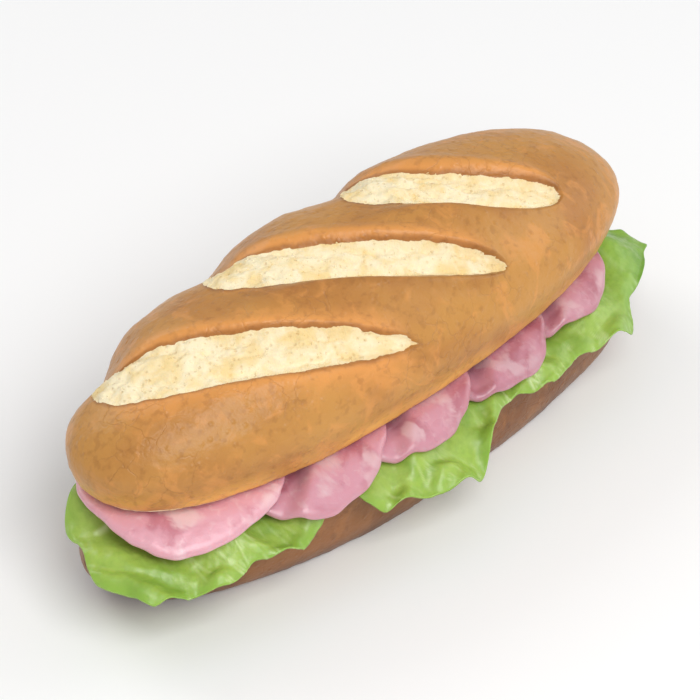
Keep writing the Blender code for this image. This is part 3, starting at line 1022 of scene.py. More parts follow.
@dataclass
class BreadHalf:
    """One half of the roll: a loaf's form, cut off flat."""

    name: str
    node: str
    plan: RollPlan
    width: float
    middle: float
    rise: float
    fall: float
    floor: float
    ceiling: float
    power: float
    seed: float
    crust_up: bool
    right_end: float = 2.5
    left_end: float = 2.5
    crown: SlashedCrown | None = None
    rings: int = 380
    crust_steps: int = 86
    side_steps: int = 12
    face_steps: int = 18
    uneven: float = 0.0007
    uneven_scale: float = 28.0
    skin: float = 0.00018
    skin_scale: float = 150.0
    pimples: float = 0.00011
    pimple_scale: float = 360.0
    relief_fade: float = 0.010
    paint_fade: float = 0.004
    cut_soft: float = 0.0004
    crust_thick: float = 0.0011
    crust_soft: float = 0.0006
    crumb_depth: float = 0.00035
    crumb_scale: float = 260.0
    hole_depth: float = 0.0002
    hole_scale: float = 700.0
    # painted highlight: where the lighter rim starts, how far up it fades, how strong and how uneven it is
    rim_from: float = 0.001
    rim_over: float = 0.009
    rim_most: float = 0.9
    rim_even: float = 0.7
    rim_wander: float = 0.8
    rim_scale: float = 45.0
    toast_from: float = 0.0005
    toast_over: float = 0.008
    toast_most: float = 0.8
    toast_even: float = 0.6
    toast_wander: float = 0.5
    toast_scale: float = 60.0

    def _turns(self) -> tuple[Array, Array]:
        """Angles from the crown round one side of a section, and which part of it each is on.

        Returns:
            The angles, and 1 for each point that belongs to the flat cut.
        """
        depth = self.middle - self.floor if self.crust_up else self.ceiling - self.middle
        reach = self.fall if self.crust_up else self.rise
        cut_turn = math.pi / 2 + math.asin(min(1.0, (depth / reach) ** (self.power / 2)))
        dense = np.linspace(0, math.pi / 2, 600)
        y = np.sin(dense) ** (2 / self.power) * self.width / 2
        z = np.cos(dense) ** (2 / self.power) * (self.rise if self.crust_up else self.fall)
        crust = even_steps(as_rows(y, z), self.crust_steps) * math.pi / 2
        side = np.linspace(math.pi / 2, cut_turn, self.side_steps + 1)[1:]
        face = np.linspace(cut_turn, math.pi, self.face_steps + 1)[1:]
        turns = np.concatenate((crust, side, face))
        return turns, (turns > cut_turn + NARROW).astype(float)

    def _places(self) -> Array:
        """Angles along the roll, from one end to the other, for even rings.

        Returns:
            The angles, without the ends' own.
        """
        dense = np.linspace(0, math.pi, 2000)
        power = self.plan.power(np.cos(dense))
        x = self.plan.length / 2 * signed_power(np.cos(dense), 2 / power)
        y = self.width / 2 * np.sin(dense) ** (2 / power)
        return even_steps(as_rows(x, y), self.rings + 1)[1:-1] * math.pi

    def _skin(self) -> tuple[Array, Array]:
        """The plain form's points, ring by ring and then both ends, and which are on the flat cut.

        Returns:
            The points, and 1 for each that is on the cut.
        """
        turns, flat = self._turns()
        turns = np.concatenate((turns, turns[-2:0:-1]))
        flat = np.concatenate((flat, flat[-2:0:-1]))
        sides = np.ones(len(turns))
        sides[len(turns) // 2 + 1:] = -1.0
        places = self._places()[:, None]
        girth = np.sin(places)
        plan_power = self.plan.power(np.cos(places))
        end_power = np.where(np.cos(places) > 0, self.right_end, self.left_end)
        x = self.plan.length / 2 * signed_power(np.cos(places), 2 / plan_power) + 0 * turns
        y = sides * self.width / 2 * girth ** (2 / plan_power) * np.abs(np.sin(turns)) ** (2 / self.power)
        lift = signed_power(np.cos(turns), 2 / self.power) * girth ** (2 / end_power)
        lift = lift if self.crust_up else -lift
        z = self.middle + lift * np.where(lift > 0, self.rise, self.fall)
        rings = np.stack((x, y, z), axis=-1).reshape(-1, 3)
        ends = np.array(((self.plan.length / 2, 0.0, self.middle), (-self.plan.length / 2, 0.0, self.middle)))
        return np.concatenate((rings, ends)), np.concatenate((np.tile(flat, len(places)), (0.0, 0.0)))

    def build(self) -> Piece:
        """Builds the half and paints where bread, painted highlights, scorching and painted shade show.

        Returns:
            The piece.
        """
        points, flat = self._skin()
        columns = 2 * (self.crust_steps + self.side_steps + self.face_steps)
        piece = new_piece(self.name, points, ringed_faces(self.rings, columns), outward=True)
        normals = point_normals(piece)
        plain = points.copy()
        height = self.uneven * drift(points, self.uneven_scale, self.seed)
        height += self.skin * drift(points, self.skin_scale, seed=self.seed + 5, octaves=3)
        pimples = np.clip(drift(points, self.pimple_scale, seed=self.seed + 7, octaves=2), 0.0, 1.0)
        height += self.pimples * pimples**0.7
        above = points[:, 2] - self.middle
        bread, streak, scorch_and_painted_shade = (np.zeros(len(points)) for _ in range(3))
        if self.crown:
            relief, bread, streak, scorch_and_painted_shade = self.crown.shape(points)
            height += smooth_step(0.3 + above / self.relief_fade) * relief
            top = smooth_step(above / self.paint_fade)
            bread, streak, scorch_and_painted_shade = bread * top, streak * top, scorch_and_painted_shade * top
        points = points + normals * height[:, None]
        points[:, 2] = self._cut_level(points[:, 2])
        inset = -self.plan.outside(plain[:, 0], plain[:, 1])
        face = flat * smooth_step((inset - self.crust_thick) / self.crust_soft)
        crumb = self.crumb_depth * np.abs(drift(plain, self.crumb_scale, seed=self.seed + 9, octaves=3))
        crumb += self.hole_depth * np.abs(drift(plain, self.hole_scale, seed=3.0, octaves=2))
        points[:, 2] += face * crumb * (1.0 if self.crust_up else -1.0)
        place_points(piece, points)
        paint(piece, "bread", np.maximum(bread, face))
        # painted highlight beside the slashes
        paint(piece, "streak", streak * (1 - bread))
        # real scorching and the darker bottom, with the painted shade band beside the slashes
        paint(piece, "bake", np.clip(scorch_and_painted_shade + self._toast(points), 0.0, 1.0))
        # painted highlight along the lower edge
        paint(piece, "rim", self._painted_rim_highlight(points))
        return piece

    def _cut_level(self, z: Array) -> Array:
        """Levels held between the flat cut and the base, with the edge a little rounded.

        Args:
            z: Levels before the cut.

        Returns:
            The levels held.
        """
        if self.crust_up:
            return self.floor + eased(z - self.floor, self.cut_soft)
        return np.clip(self.ceiling - eased(self.ceiling - z, self.cut_soft), self.floor, self.ceiling)

    def _painted_rim_highlight(self, points: Array) -> Array:
        """How much painted highlight shows along the rim: near the flat cut and at the ends of the upper
        half.

        Args:
            points: The finished points.

        Returns:
            Shares from 0 to 1.
        """
        if not self.crust_up:
            return np.zeros(len(points))
        low = 1 - smooth_step((points[:, 2] - self.floor - self.rim_from) / self.rim_over)
        wander = self.rim_even + self.rim_wander * drift(points, self.rim_scale, seed=31.0, octaves=2)
        return np.clip(low * wander, 0.0, 1.0) * self.rim_most

    def _toast(self, points: Array) -> Array:
        """How much darker the crust is where it stood on the oven's floor.

        Args:
            points: The finished points.

        Returns:
            Shares from 0 to 1.
        """
        if self.crust_up:
            return np.zeros(len(points))
        wander = self.toast_even + self.toast_wander * drift(points, self.toast_scale, seed=17.0, octaves=3)
        low = 1 - smooth_step((points[:, 2] - self.toast_from) / self.toast_over)
        return np.clip(low * wander, 0.0, self.toast_most)


def top_half(plan: RollPlan) -> BreadHalf:
    """The upper half of the roll, slashed."""
    return BreadHalf("roll_top", "top_roll", plan, plan.width, middle=CUT_LEVEL + 0.0062, rise=0.0272,
                     fall=0.0165, floor=CUT_LEVEL, ceiling=1.0, power=2.15, seed=11.0, crust_up=True,
                     right_end=1.8, crown=SlashedCrown(), rings=428, crust_steps=98, side_steps=8,
                     face_steps=10)


def bottom_half(plan: RollPlan) -> BreadHalf:
    """The lower half of the roll, flat on its base."""
    return BreadHalf("roll_bottom", "bottom_roll", plan, plan.width + 0.001, middle=0.0128, rise=0.0330,
                     fall=0.0205, floor=0.0, ceiling=BREAD_LEVEL, power=2.9, seed=3.0, crust_up=False,
                     rings=300, crust_steps=64, side_steps=22, face_steps=24)


# The ham


@dataclass(frozen=True)
class Slice:
    """One oval slice: its centre, half sizes, the phase of its uneven edge and its turn in degrees."""

    centre: tuple[float, float]
    half_length: float
    half_width: float
    power: float
    phase: float
    turn: float = 0.0

    def distance(self, x: Array, y: Array) -> Array:
        """How far points lie outside the slice.

        Args:
            x: Places along the roll.
            y: Places across it.

        Returns:
            Distances, negative inside.
        """
        cosine, sine = math.cos(math.radians(self.turn)), math.sin(math.radians(self.turn))
        from_x, from_y = x - self.centre[0], y - self.centre[1]
        short, long = from_x * cosine - from_y * sine, from_x * sine + from_y * cosine
        return oval_distance(short, long, self.half_length, self.half_width, self.power)

    def place(self, angle: Array, share: Array) -> tuple[Array, Array]:
        """Places at directions from the centre and shares of the way to the edge.

        Args:
            angle: Directions from the slice's centre.
            share: Shares of the way to its edge.

        Returns:
            Places along and across the roll.
        """
        cosine, sine = math.cos(math.radians(self.turn)), math.sin(math.radians(self.turn))
        short = self.half_length * share * signed_power(np.cos(angle), 2 / self.power)
        long = self.half_width * share * signed_power(np.sin(angle), 2 / self.power)
        return self.centre[0] + short * cosine + long * sine, self.centre[1] - short * sine + long * cosine


@dataclass(frozen=True)
class HamShingle:
    """Five slices, each tucked under the one before it."""

    plan: RollPlan
    slices: tuple[Slice, ...] = (
        Slice((-0.0692, -0.0062), 0.0262, 0.0243, 2.4, 0.3, 10.0),
        Slice((-0.0395, 0.0), 0.0275, 0.0405, 2.4, 1.9),
        Slice((-0.0090, 0.0), 0.0275, 0.0415, 2.4, 3.1),
        Slice((0.0215, 0.0), 0.0275, 0.0400, 2.4, 4.4),
        Slice((0.0515, 0.0), 0.0285, 0.0342, 2.2, 5.2),
    )
    bed: float = 0.0288
    clear: float = 0.0005
    thick: float = 0.0024
    ruffle: float = 0.0004
    ruffles: int = 4
    margin: float = 0.0015
    climb: float = 0.0060
    droop_start: float = 0.0020
    droop_soft: float = 0.0065
    columns: int = 120
    rows: int = 120
    round_over: float = 0.0016
    blunt: float = 0.25
    inward: float = 0.0001
    crowded: float = 0.6
    waves: tuple[tuple[int, float, int], ...] = (
        (3, 0.012, 1), (5, 0.008, -1), (11, 0.006, 2), (23, 0.003, -1))
    swell: float = 0.00022
    swell_scale: float = 130.0
    # painted shade: how much each slice is darkened, from left to right
    painted_shade_shares: tuple[float, ...] = (0.0, 0.45, 0.55, 0.80, 0.68)

    @property
    def step(self) -> float:
        """How far each slice lies under the one over it."""
        return self.thick + self.ruffle + self.clear

    @property
    def top_level(self) -> float:
        """The level of an uncovered slice's underside."""
        return self.bed + self.clear + self.step

    def cover(self, index: int, x: Array, y: Array, margin: float, fade: float) -> Array:
        """1 at a slice and up to margin outside it, falling to 0 within the fade beyond."""
        return 1 - smooth_step((self.slices[index].distance(x, y) - margin) / fade)

    def above(self, index: int, x: Array, y: Array) -> Array:
        """How many slices lie over this one at points.

        Args:
            index: The slice.
            x: Places along the roll.
            y: Places across it.

        Returns:
            The numbers, with a slope beside each edge.
        """
        if index == 0:
            return np.zeros(len(x))
        return self.cover(index - 1, x, y, self.margin, self.climb) * (1 + self.above(index - 1, x, y))

    def drop(self, x: Array, y: Array) -> Array:
        """How far the ham bends down at points."""
        return bend_down(self.plan.outside(x, y), self.droop_start, self.droop_soft, 1.0)

    def height(self, index: int, x: Array, y: Array) -> Array:
        """The level of a slice's underside."""
        return self.top_level - self.step * self.above(index, x, y) - self.drop(x, y)

    def floor(self, x: Array, y: Array) -> Array:
        """The level of the lowest ham over points, before it bends down.

        Args:
            x: Places along the roll.
            y: Places across it.

        Returns:
            The levels.
        """
        covers = [self.cover(i, x, y, 2 * self.margin, self.climb) * self.above(i, x, y)
                  for i in range(len(self.slices))]
        return self.top_level - self.step * np.max(covers, axis=0)

    def build(self) -> list[Piece]:
        """Builds the slices with soft edges.

        Returns:
            The pieces, from the left one to the right one.
        """
        made = []
        for index, piece in enumerate(self.slices):
            u, v, side, faces = slab_grid(self.columns, self.rows)
            angle, share = disc_place(u, v)
            share = share - self.crowded * np.sin(2 * math.pi * share) / (2 * math.pi)
            edge = 1 + sum(size * np.sin(count * angle + phases * piece.phase)
                           for count, size, phases in self.waves)
            x, y = piece.place(angle, share * edge)
            ruffle = self.ruffle * (0.5 + 0.5 * np.sin(self.ruffles * angle + piece.phase)) * share**2
            radius = np.hypot(piece.half_length * np.cos(angle), piece.half_width * np.sin(angle))
            inset = (1 - share) * radius
            rounding = np.sqrt(1 - np.clip(1 - inset / self.round_over, 0.0, 1.0) ** 2)
            flat_places = as_rows(x, y, np.full(len(x), 0.3 * index))
            swell = self.swell * drift(flat_places, self.swell_scale, seed=40.0 + index, octaves=3)
            middle = self.height(index, x, y) + ruffle + self.thick / 2
            half_thick = self.thick / 2 * (self.blunt + (1 - self.blunt) * rounding) - self.inward
            z = middle + side * half_thick + swell * rounding
            slab = new_piece(f"ham_{index + 1}", as_rows(x, y, z), faces, outward=True)
            paint(slab, "edge", 1 - smooth_step(inset / self.round_over))
            # painted shade: one darkening share for the whole slice
            paint(slab, "dull", np.full(len(x), self.painted_shade_shares[index]))
            made.append(slab)
        return made


# The lettuce


@dataclass(frozen=True)
class Lobe:
    """One lobe of the lettuce's edge.

    Its direction is in degrees from +X, as if the roll were round. A reach under 0 tucks the edge in.
    """

    turn: float
    reach: float
    spread: float

    def at(self, turn: Array) -> Array:
        """How far the lobe reaches in directions."""
        return self.reach * bump_at((turn - self.turn + 180) % 360, 180, self.spread)


@dataclass(frozen=True)
class Leaf:
    """One leaf: its centre, its stretch from there, where it starts and ends along the roll, and its spine.

    The leaf fans out from a spine along the roll, so that every lobe faces the spine squarely.
    """

    name: str
    node: str
    centre: tuple[float, float]
    stretch: tuple[float, float]
    start: float
    end: float
    columns: int
    rows: int
    first_rib: float
    ribs: int
    spine: float


@dataclass(frozen=True)
class Rib:
    """A rib's girth at its root, as a multiple of the ribs' width, and how much it loses up to its tip."""

    root: float
    loss: float

    def girth(self, share: Array) -> Array:
        """The girth at shares of the way from root to tip."""
        return self.root - self.loss * share


@dataclass(frozen=True)
class LettuceBed:
    """Two frilly leaves that wave between the lower bread and the ham."""

    plan: RollPlan
    lower_plan: RollPlan
    shingle: HamShingle
    bread_level: float = BREAD_LEVEL
    thick: float = 0.0011
    wave: float = 0.026
    phase: float = 2.6
    lift: float = 0.0003
    frill: float = 0.0021
    frill_start: float = 0.004
    fall: float = 0.45
    cut_wave: float = 0.0012
    droop_start: float = 0.0015
    droop_soft: float = 0.007
    droop_slope: float = 0.75
    meat_reach: float = 0.008
    base_reach: float = 0.0042
    slant: float = 0.35
    sway: float = 0.8
    sway_wave: float = 0.012
    cut_step: float = 0.006
    edge_crimp: float = 0.0005
    edge_crimp_wave: float = 0.0105
    spine_ends: float = 0.4
    directions: int = 2880
    nearest: float = 0.1
    farthest: float = 2.5
    halvings: int = 26
    evened: int = 36
    vein_steps: int = 30
    vein_reach: float = 0.052
    vein_inset: float = 0.004
    midrib: Rib = Rib(1.4, 0.6)
    side_rib: Rib = Rib(1.0, 0.55)
    fork_rib: Rib = Rib(0.62, 0.34)
    midrib_wander: float = 0.002
    vein_lean: float = 0.006
    vein_wander: float = 0.0012
    forks: tuple[tuple[int, float], ...] = ((-1, 0.42), (1, 0.58), (-1, 0.72))
    fork_spread: float = 0.0052
    fork_lean: float = 0.003
    pucker: float = 0.0005
    pucker_scale: float = 150.0
    dimple: float = 0.00022
    dimple_scale: float = 330.0
    crimp: float = 0.0006
    crimp_wave: float = 0.0125
    crimp_rim: float = 0.16
    blunt: float = 0.45
    blunt_rim: float = 0.05
    free_inside: float = 0.001
    free_over: float = 0.005
    edge_rim: float = 0.1
    # painted shade: where along the roll the leaf starts to darken, and over how far
    shade_from: float = 0.050
    shade_over: float = 0.040
    lobes: tuple[Lobe, ...] = (
        Lobe(-158, 0.0086, 14.5), Lobe(-141, 0.0089, 7.5), Lobe(-130, 0.0068, 4.0), Lobe(-121, 0.0060, 5.2),
        Lobe(-103, 0.0062, 9.6), Lobe(-92, 0.0109, 7.0), Lobe(-73, 0.0066, 3.5), Lobe(-60, 0.0090, 6.6),
        Lobe(-40, 0.0052, 14.4), Lobe(-26, 0.0056, 3.6), Lobe(-14, -0.0068, 8.8), Lobe(38, 0.0046, 10.0),
        Lobe(64, 0.0064, 8.0), Lobe(84, 0.0042, 5.5), Lobe(102, 0.0062, 7.5), Lobe(122, 0.0036, 7.0),
        Lobe(148, -0.0095, 13.0),
    )
    leaves: tuple[Leaf, ...] = (
        Leaf("leaf_left", "lettuce_leaf_1", centre=(-0.071, -0.002), stretch=(0.020, 0.036), start=-0.2,
             end=-0.0465, columns=170, rows=150, first_rib=-0.094, ribs=6, spine=0.008),
        Leaf("leaf_right", "lettuce_leaf_2", centre=(0.029, -0.002), stretch=(0.024, 0.040), start=-0.0365,
             end=0.2, columns=320, rows=150, first_rib=-0.034, ribs=15, spine=0.046),
    )

    def reach(self, x: Array, y: Array) -> Array:
        """How far the lettuce reaches out of the roll's outline at points."""
        turn = np.degrees(np.arctan2(y / self.plan.width, x / self.plan.length))
        return self.base_reach + sum(lobe.at(turn) for lobe in self.lobes)

    def spread(self, leaf: Leaf, angle: Array, share: Array, edge: Array) -> tuple[Array, Array]:
        """Places on a leaf.

        Args:
            leaf: The leaf.
            angle: Directions round it.
            share: Shares of the way from its centre to its edge.
            edge: How far the edge lies in those directions, as multiples of the leaf's stretch.

        Returns:
            Places along and across the roll.
        """
        from_spine = leaf.spine * np.cos(angle) * smooth_step(share / self.spine_ends)
        x = leaf.centre[0] + from_spine + share * edge * leaf.stretch[0] * np.cos(angle)
        return x, leaf.centre[1] + share * edge * leaf.stretch[1] * np.sin(angle)

    def edge(self, leaf: Leaf, angle: Array) -> Array:
        """The leaf's edge in each direction, as a multiple of its stretch.

        It is found by halving, and evened out over the directions beside it so that no lobe breaks off.

        Args:
            leaf: The leaf.
            angle: Directions from its centre.

        Returns:
            The multiples.
        """
        turns = np.linspace(-math.pi, math.pi, self.directions + 1)
        inside, outside = np.full(len(turns), self.nearest), np.full(len(turns), self.farthest)
        for _ in range(self.halvings):
            middle = (inside + outside) / 2
            x, y = self.spread(leaf, turns, np.ones(len(turns)), middle)
            wobble = self.cut_wave * np.sin(y / self.cut_step)
            crimp = self.edge_crimp * slanting_wave(x, y, self.edge_crimp_wave, 60)
            held = (leaf.start + wobble < x) & (x < leaf.end + wobble)
            held &= self.plan.outside(x, y) < self.reach(x, y) + crimp
            inside, outside = np.where(held, middle, inside), np.where(held, outside, middle)
        beside = [np.roll(inside[:-1], step) for step in range(-self.evened, self.evened + 1, 4)]
        even = sum(beside) / len(beside)
        return np.interp(angle, turns, np.append(even, even[0]))

    def height(self, x: Array, y: Array) -> Array:
        """The middle level of the lettuce at points.

        Args:
            x: Places along the roll.
            y: Places across it.

        Returns:
            Levels that wave between the lower bread and the ham, and fall off past them.
        """
        under_ham = np.minimum(self.plan.outside(x, y), self.meat_reach)
        crest = self.shingle.floor(x, y) - self.shingle.clear - self.thick
        crest = crest - bend_down(under_ham, self.shingle.droop_start, self.shingle.droop_soft, 1.0)
        distance = self.lower_plan.outside(x, y)
        low = self.bread_level + self.lift + self.thick
        under_leaf = np.minimum(distance, self.meat_reach)
        low = low - bend_down(under_leaf, self.droop_start, self.droop_soft, self.droop_slope)
        swayed = self.sway * np.sin(y / self.sway_wave)
        turn = 2 * math.pi * (x + self.slant * y) / self.wave + swayed + self.phase
        past = np.maximum(0.0, distance - self.meat_reach)
        frill = self.frill * np.sin(turn * 1.5) * smooth_step(past / self.frill_start)
        return low + np.maximum(0.0, crest - low) * (0.5 + 0.5 * np.sin(turn)) - self.fall * past + frill

    def vein_paths(self, leaf: Leaf) -> list[Array]:
        """Plans the leaf's ribs: a midrib, side ribs to both edges, and forks near their ends.

        Args:
            leaf: The leaf.

        Returns:
            Paths of x, y and girth, from root to tip.
        """
        share = np.linspace(0, 1, self.vein_steps)
        right = min(leaf.end, self.plan.length / 2)
        x = leaf.first_rib + share * (right - leaf.first_rib - self.vein_inset)
        paths = [as_rows(x, self.midrib_wander * np.sin(x * 90), self.midrib.girth(share))]
        gap = (right - leaf.first_rib - 3 * self.vein_inset) / leaf.ribs
        for number in range(leaf.ribs):
            for side in (-1, 1):
                root = leaf.first_rib + self.vein_inset + gap * (number + (0.0 if side < 0 else 0.45))
                lean = self.vein_lean * (1 + math.sin(number * 2.3 + side) / 2)
                x = root + lean * share**1.4 + self.vein_wander * np.sin(share * 7 + number)
                paths.append(as_rows(x, side * share * self.vein_reach, self.side_rib.girth(share)))
                for fork, start in self.forks:
                    along = fork * self.fork_spread * share**0.8 + self.fork_lean * share
                    fork_x = np.interp(start, share, x) + along
                    fork_y = side * (start + share * (1 - start) * 0.9) * self.vein_reach
                    paths.append(as_rows(fork_x, fork_y, self.fork_rib.girth(share)))
        return paths


class RibTree:
    """Raises ribs on a leaf along the paths of its veins."""

    def __init__(self) -> None:
        """Builds the geometry tree once."""
        board, given, result = open_tree("RaiseRibs", "GeometryNodeTree", {
            "Geometry": GEOMETRY, "Veins": OBJECT, "Rib Height": (FLOAT, 0.0003),
            "Rib Width": (FLOAT, 0.0012), "Finish": MATERIAL}, {"Geometry": GEOMETRY})
        veins = board.add("GeometryNodeObjectInfo", {
            "Object": given.outputs["Veins"]}, transform_space="RELATIVE")
        near = board.add("GeometryNodeProximity", {0: veins.outputs["Geometry"]}, target_element="EDGES")
        girth = board.add("GeometryNodeInputNamedAttribute", {"Name": "girth"}, data_type="FLOAT")
        nearest = board.add("GeometryNodeSampleNearest", {0: veins.outputs["Geometry"]}, domain="POINT")
        at_vein = board.add("GeometryNodeSampleIndex", {
            0: veins.outputs["Geometry"], 1: girth.outputs[0], "Index": nearest.outputs[0]},
            data_type="FLOAT", domain="POINT").outputs[0]
        width = board.math("MULTIPLY", given.outputs["Rib Width"], at_vein)
        mask = board.fit(near.outputs["Distance"], 0.0, width, 1.0, 0.0)
        strength = board.math("MULTIPLY", mask, at_vein)
        lift = board.math("MULTIPLY", strength, given.outputs["Rib Height"])
        normal = board.add("GeometryNodeInputNormal").outputs[0]
        offset = board.add("ShaderNodeVectorMath", {0: normal, "Scale": lift}, operation="SCALE")
        moved = board.add("GeometryNodeSetPosition", {
            "Geometry": given.outputs["Geometry"], "Offset": offset.outputs[0]})
        stored = board.store(moved.outputs[0], "rib", strength)
        whole = board.add("GeometryNodeRealizeInstances", {0: stored})
        dressed = board.add("GeometryNodeSetMaterial", {
            "Geometry": whole.outputs[0], "Material": given.outputs["Finish"]})
        board.join(dressed.outputs[0], result, "Geometry")
        self.tree = board.tree

    def apply(self, piece: Piece, veins: Piece, finish: Material) -> Piece:
        """Raises the ribs and returns the plain piece."""
        return run_tree(piece, self.tree, {"Veins": veins, "Finish": finish})


class CrumbTree:
    """Scatters crumbs over the torn bread that faces upwards."""

    level_enough = (0.3, 0.6)
    torn_enough = (0.6, 0.9)
    smallest = (0.35, 0.35, 0.25)
    largest = (1.35, 1.1, 0.9)

    def __init__(self) -> None:
        """Builds the geometry tree once."""
        board, given, result = open_tree("ScatterCrumbs", "GeometryNodeTree", {
            "Geometry": GEOMETRY, "Density": (FLOAT, 150000.0), "Crumb Size": (FLOAT, 0.00034),
            "Knob Scale": (FLOAT, 2100.0), "Finish": MATERIAL}, {"Geometry": GEOMETRY})
        torn = board.add("GeometryNodeInputNamedAttribute", {"Name": "bread"}, data_type="FLOAT").outputs[0]
        facing = board.add("GeometryNodeInputNormal").outputs[0]
        upwards = board.fit(board.add("ShaderNodeSeparateXYZ", {0: facing}).outputs["Z"], *self.level_enough)
        density = board.math("MULTIPLY", board.fit(torn, *self.torn_enough), upwards)
        points = board.add("GeometryNodeDistributePointsOnFaces", {
            "Mesh": given.outputs["Geometry"], "Seed": 7,
            "Density": board.math("MULTIPLY", density, given.outputs["Density"])})
        ball = board.add("GeometryNodeMeshIcoSphere", {
            "Radius": given.outputs["Crumb Size"], "Subdivisions": 2})
        turned = board.add("FunctionNodeRandomValue", {
            1: (FULL_TURN, FULL_TURN, FULL_TURN), "Seed": 3}, data_type="FLOAT_VECTOR")
        grown = board.add("FunctionNodeRandomValue", {
            0: self.smallest, 1: self.largest, "Seed": 5}, data_type="FLOAT_VECTOR")
        placed = board.add("GeometryNodeInstanceOnPoints", {
            "Points": points.outputs["Points"], "Instance": ball.outputs["Mesh"],
            "Rotation": turned.outputs[0], "Scale": grown.outputs[0]})
        whole = board.add("GeometryNodeRealizeInstances", {0: placed.outputs[0]})
        where = board.add("GeometryNodeInputPosition").outputs[0]
        rough = board.add("ShaderNodeTexNoise", {
            "Vector": where, "Scale": given.outputs["Knob Scale"], "Detail": 1.0})
        centred = board.add("ShaderNodeVectorMath", {
            0: rough.outputs["Color"], 1: (0.5, 0.5, 0.5)}, operation="SUBTRACT")
        knobs = board.add("ShaderNodeVectorMath", {
            0: centred.outputs[0], "Scale": given.outputs["Crumb Size"]}, operation="SCALE")
        uneven = board.add("GeometryNodeSetPosition", {
            "Geometry": whole.outputs[0], "Offset": knobs.outputs[0]})
        stored = board.store(uneven.outputs[0], "bread", 1.0)
        dressed = board.add("GeometryNodeSetMaterial", {
            "Geometry": stored, "Material": given.outputs["Finish"]})
        board.join(dressed.outputs[0], result, "Geometry")
        self.tree = board.tree

    def apply(self, bread: Piece, name: str, finish: Material) -> Piece:
        """Scatters crumbs over a piece of bread.

        Args:
            bread: The piece, with the attribute that says where the bread is torn.
            name: The crumbs' name.
            finish: Their material.

        Returns:
            The crumbs, as one plain piece.
        """
        crumbs = bpy.data.objects.new(name, bread.data.copy())
        bpy.context.scene.collection.objects.link(crumbs)
        return run_tree(crumbs, self.tree, {"Finish": finish})


def run_tree(piece: Piece, tree: Tree, inputs: dict) -> Piece:
    """Runs a geometry tree on a piece and leaves a plain mesh in its place.

    Args:
        piece: The piece.
        tree: The tree.
        inputs: Values by input name.

    Returns:
        The same object with its new mesh.
    """
    modifier = piece.modifiers.new(tree.name, "NODES")
    modifier.node_group = tree
    sockets = {item.name: item.identifier for item in tree.interface.items_tree
               if item.item_type == "SOCKET" and item.in_out == "INPUT"}
    for name, value in inputs.items():
        modifier[sockets[name]] = value
    bpy.context.view_layer.update()
    evaluated = piece.evaluated_get(bpy.context.evaluated_depsgraph_get())
    plain = bpy.data.meshes.new_from_object(evaluated)
    piece.modifiers.remove(modifier)
    old = piece.data
    piece.data = plain
    bpy.data.meshes.remove(old)
    plain.name = piece.name
    plain.shade_smooth()
    return piece


def build_leaves(bed: LettuceBed, ribs: RibTree, finish: Material) -> list[Piece]:
    """Builds both leaves with their puckers and ribs.

    Args:
        bed: The lettuce.
        ribs: The tree that raises ribs.
        finish: The leaves' material.

    Returns:
        The pieces.
    """
    made = []
    for number, leaf in enumerate(bed.leaves):
        u, v, side, faces = slab_grid(leaf.columns, leaf.rows)
        angle, share = disc_place(u, v)
        edge = bed.edge(leaf, angle)
        x, y = bed.spread(leaf, angle, share, edge)
        free = smooth_step((bed.plan.outside(x, y) + bed.free_inside) / bed.free_over)
        flat_places = as_rows(x, y, np.full(len(x), float(number)))
        pucker = bed.pucker * drift(flat_places, bed.pucker_scale, seed=60.0, octaves=2)
        pucker += bed.dimple * drift(flat_places, bed.dimple_scale, seed=61.0, octaves=2)
        crimp = bed.crimp * slanting_wave(x, y, bed.crimp_wave, 47)
        crimp *= smooth_step((share - 1 + bed.crimp_rim) / bed.crimp_rim)
        thin = bed.thick * (bed.blunt + (1 - bed.blunt) * smooth_step((1 - share) / bed.blunt_rim))
        z = bed.height(x, y) + side * thin / 2 + free * (pucker + crimp)
        slab = new_piece(leaf.name, as_rows(x, y, z), faces, outward=True)
        paint(slab, "edge", smooth_step((share - 1 + bed.edge_rim) / bed.edge_rim))
        # painted shade: darker towards the roll's right end
        paint(slab, "dull", smooth_step((x - bed.shade_from) / bed.shade_over))
        lines, edges, girths = [], [], []
        for path in bed.vein_paths(leaf):
            level = bed.height(path[:, 0], path[:, 1])
            edges += [(len(lines) + step, len(lines) + step + 1) for step in range(len(path) - 1)]
            lines += as_rows(path[:, 0], path[:, 1], level).tolist()
            girths += path[:, 2].tolist()
        net = bpy.data.meshes.new("veins")
        net.from_pydata(lines, edges, [])
        veins = bpy.data.objects.new("veins", net)
        bpy.context.scene.collection.objects.link(veins)
        paint(veins, "girth", np.array(girths))
        made.append(ribs.apply(slab, veins, finish))
        bpy.data.objects.remove(veins)
    return made


# The room


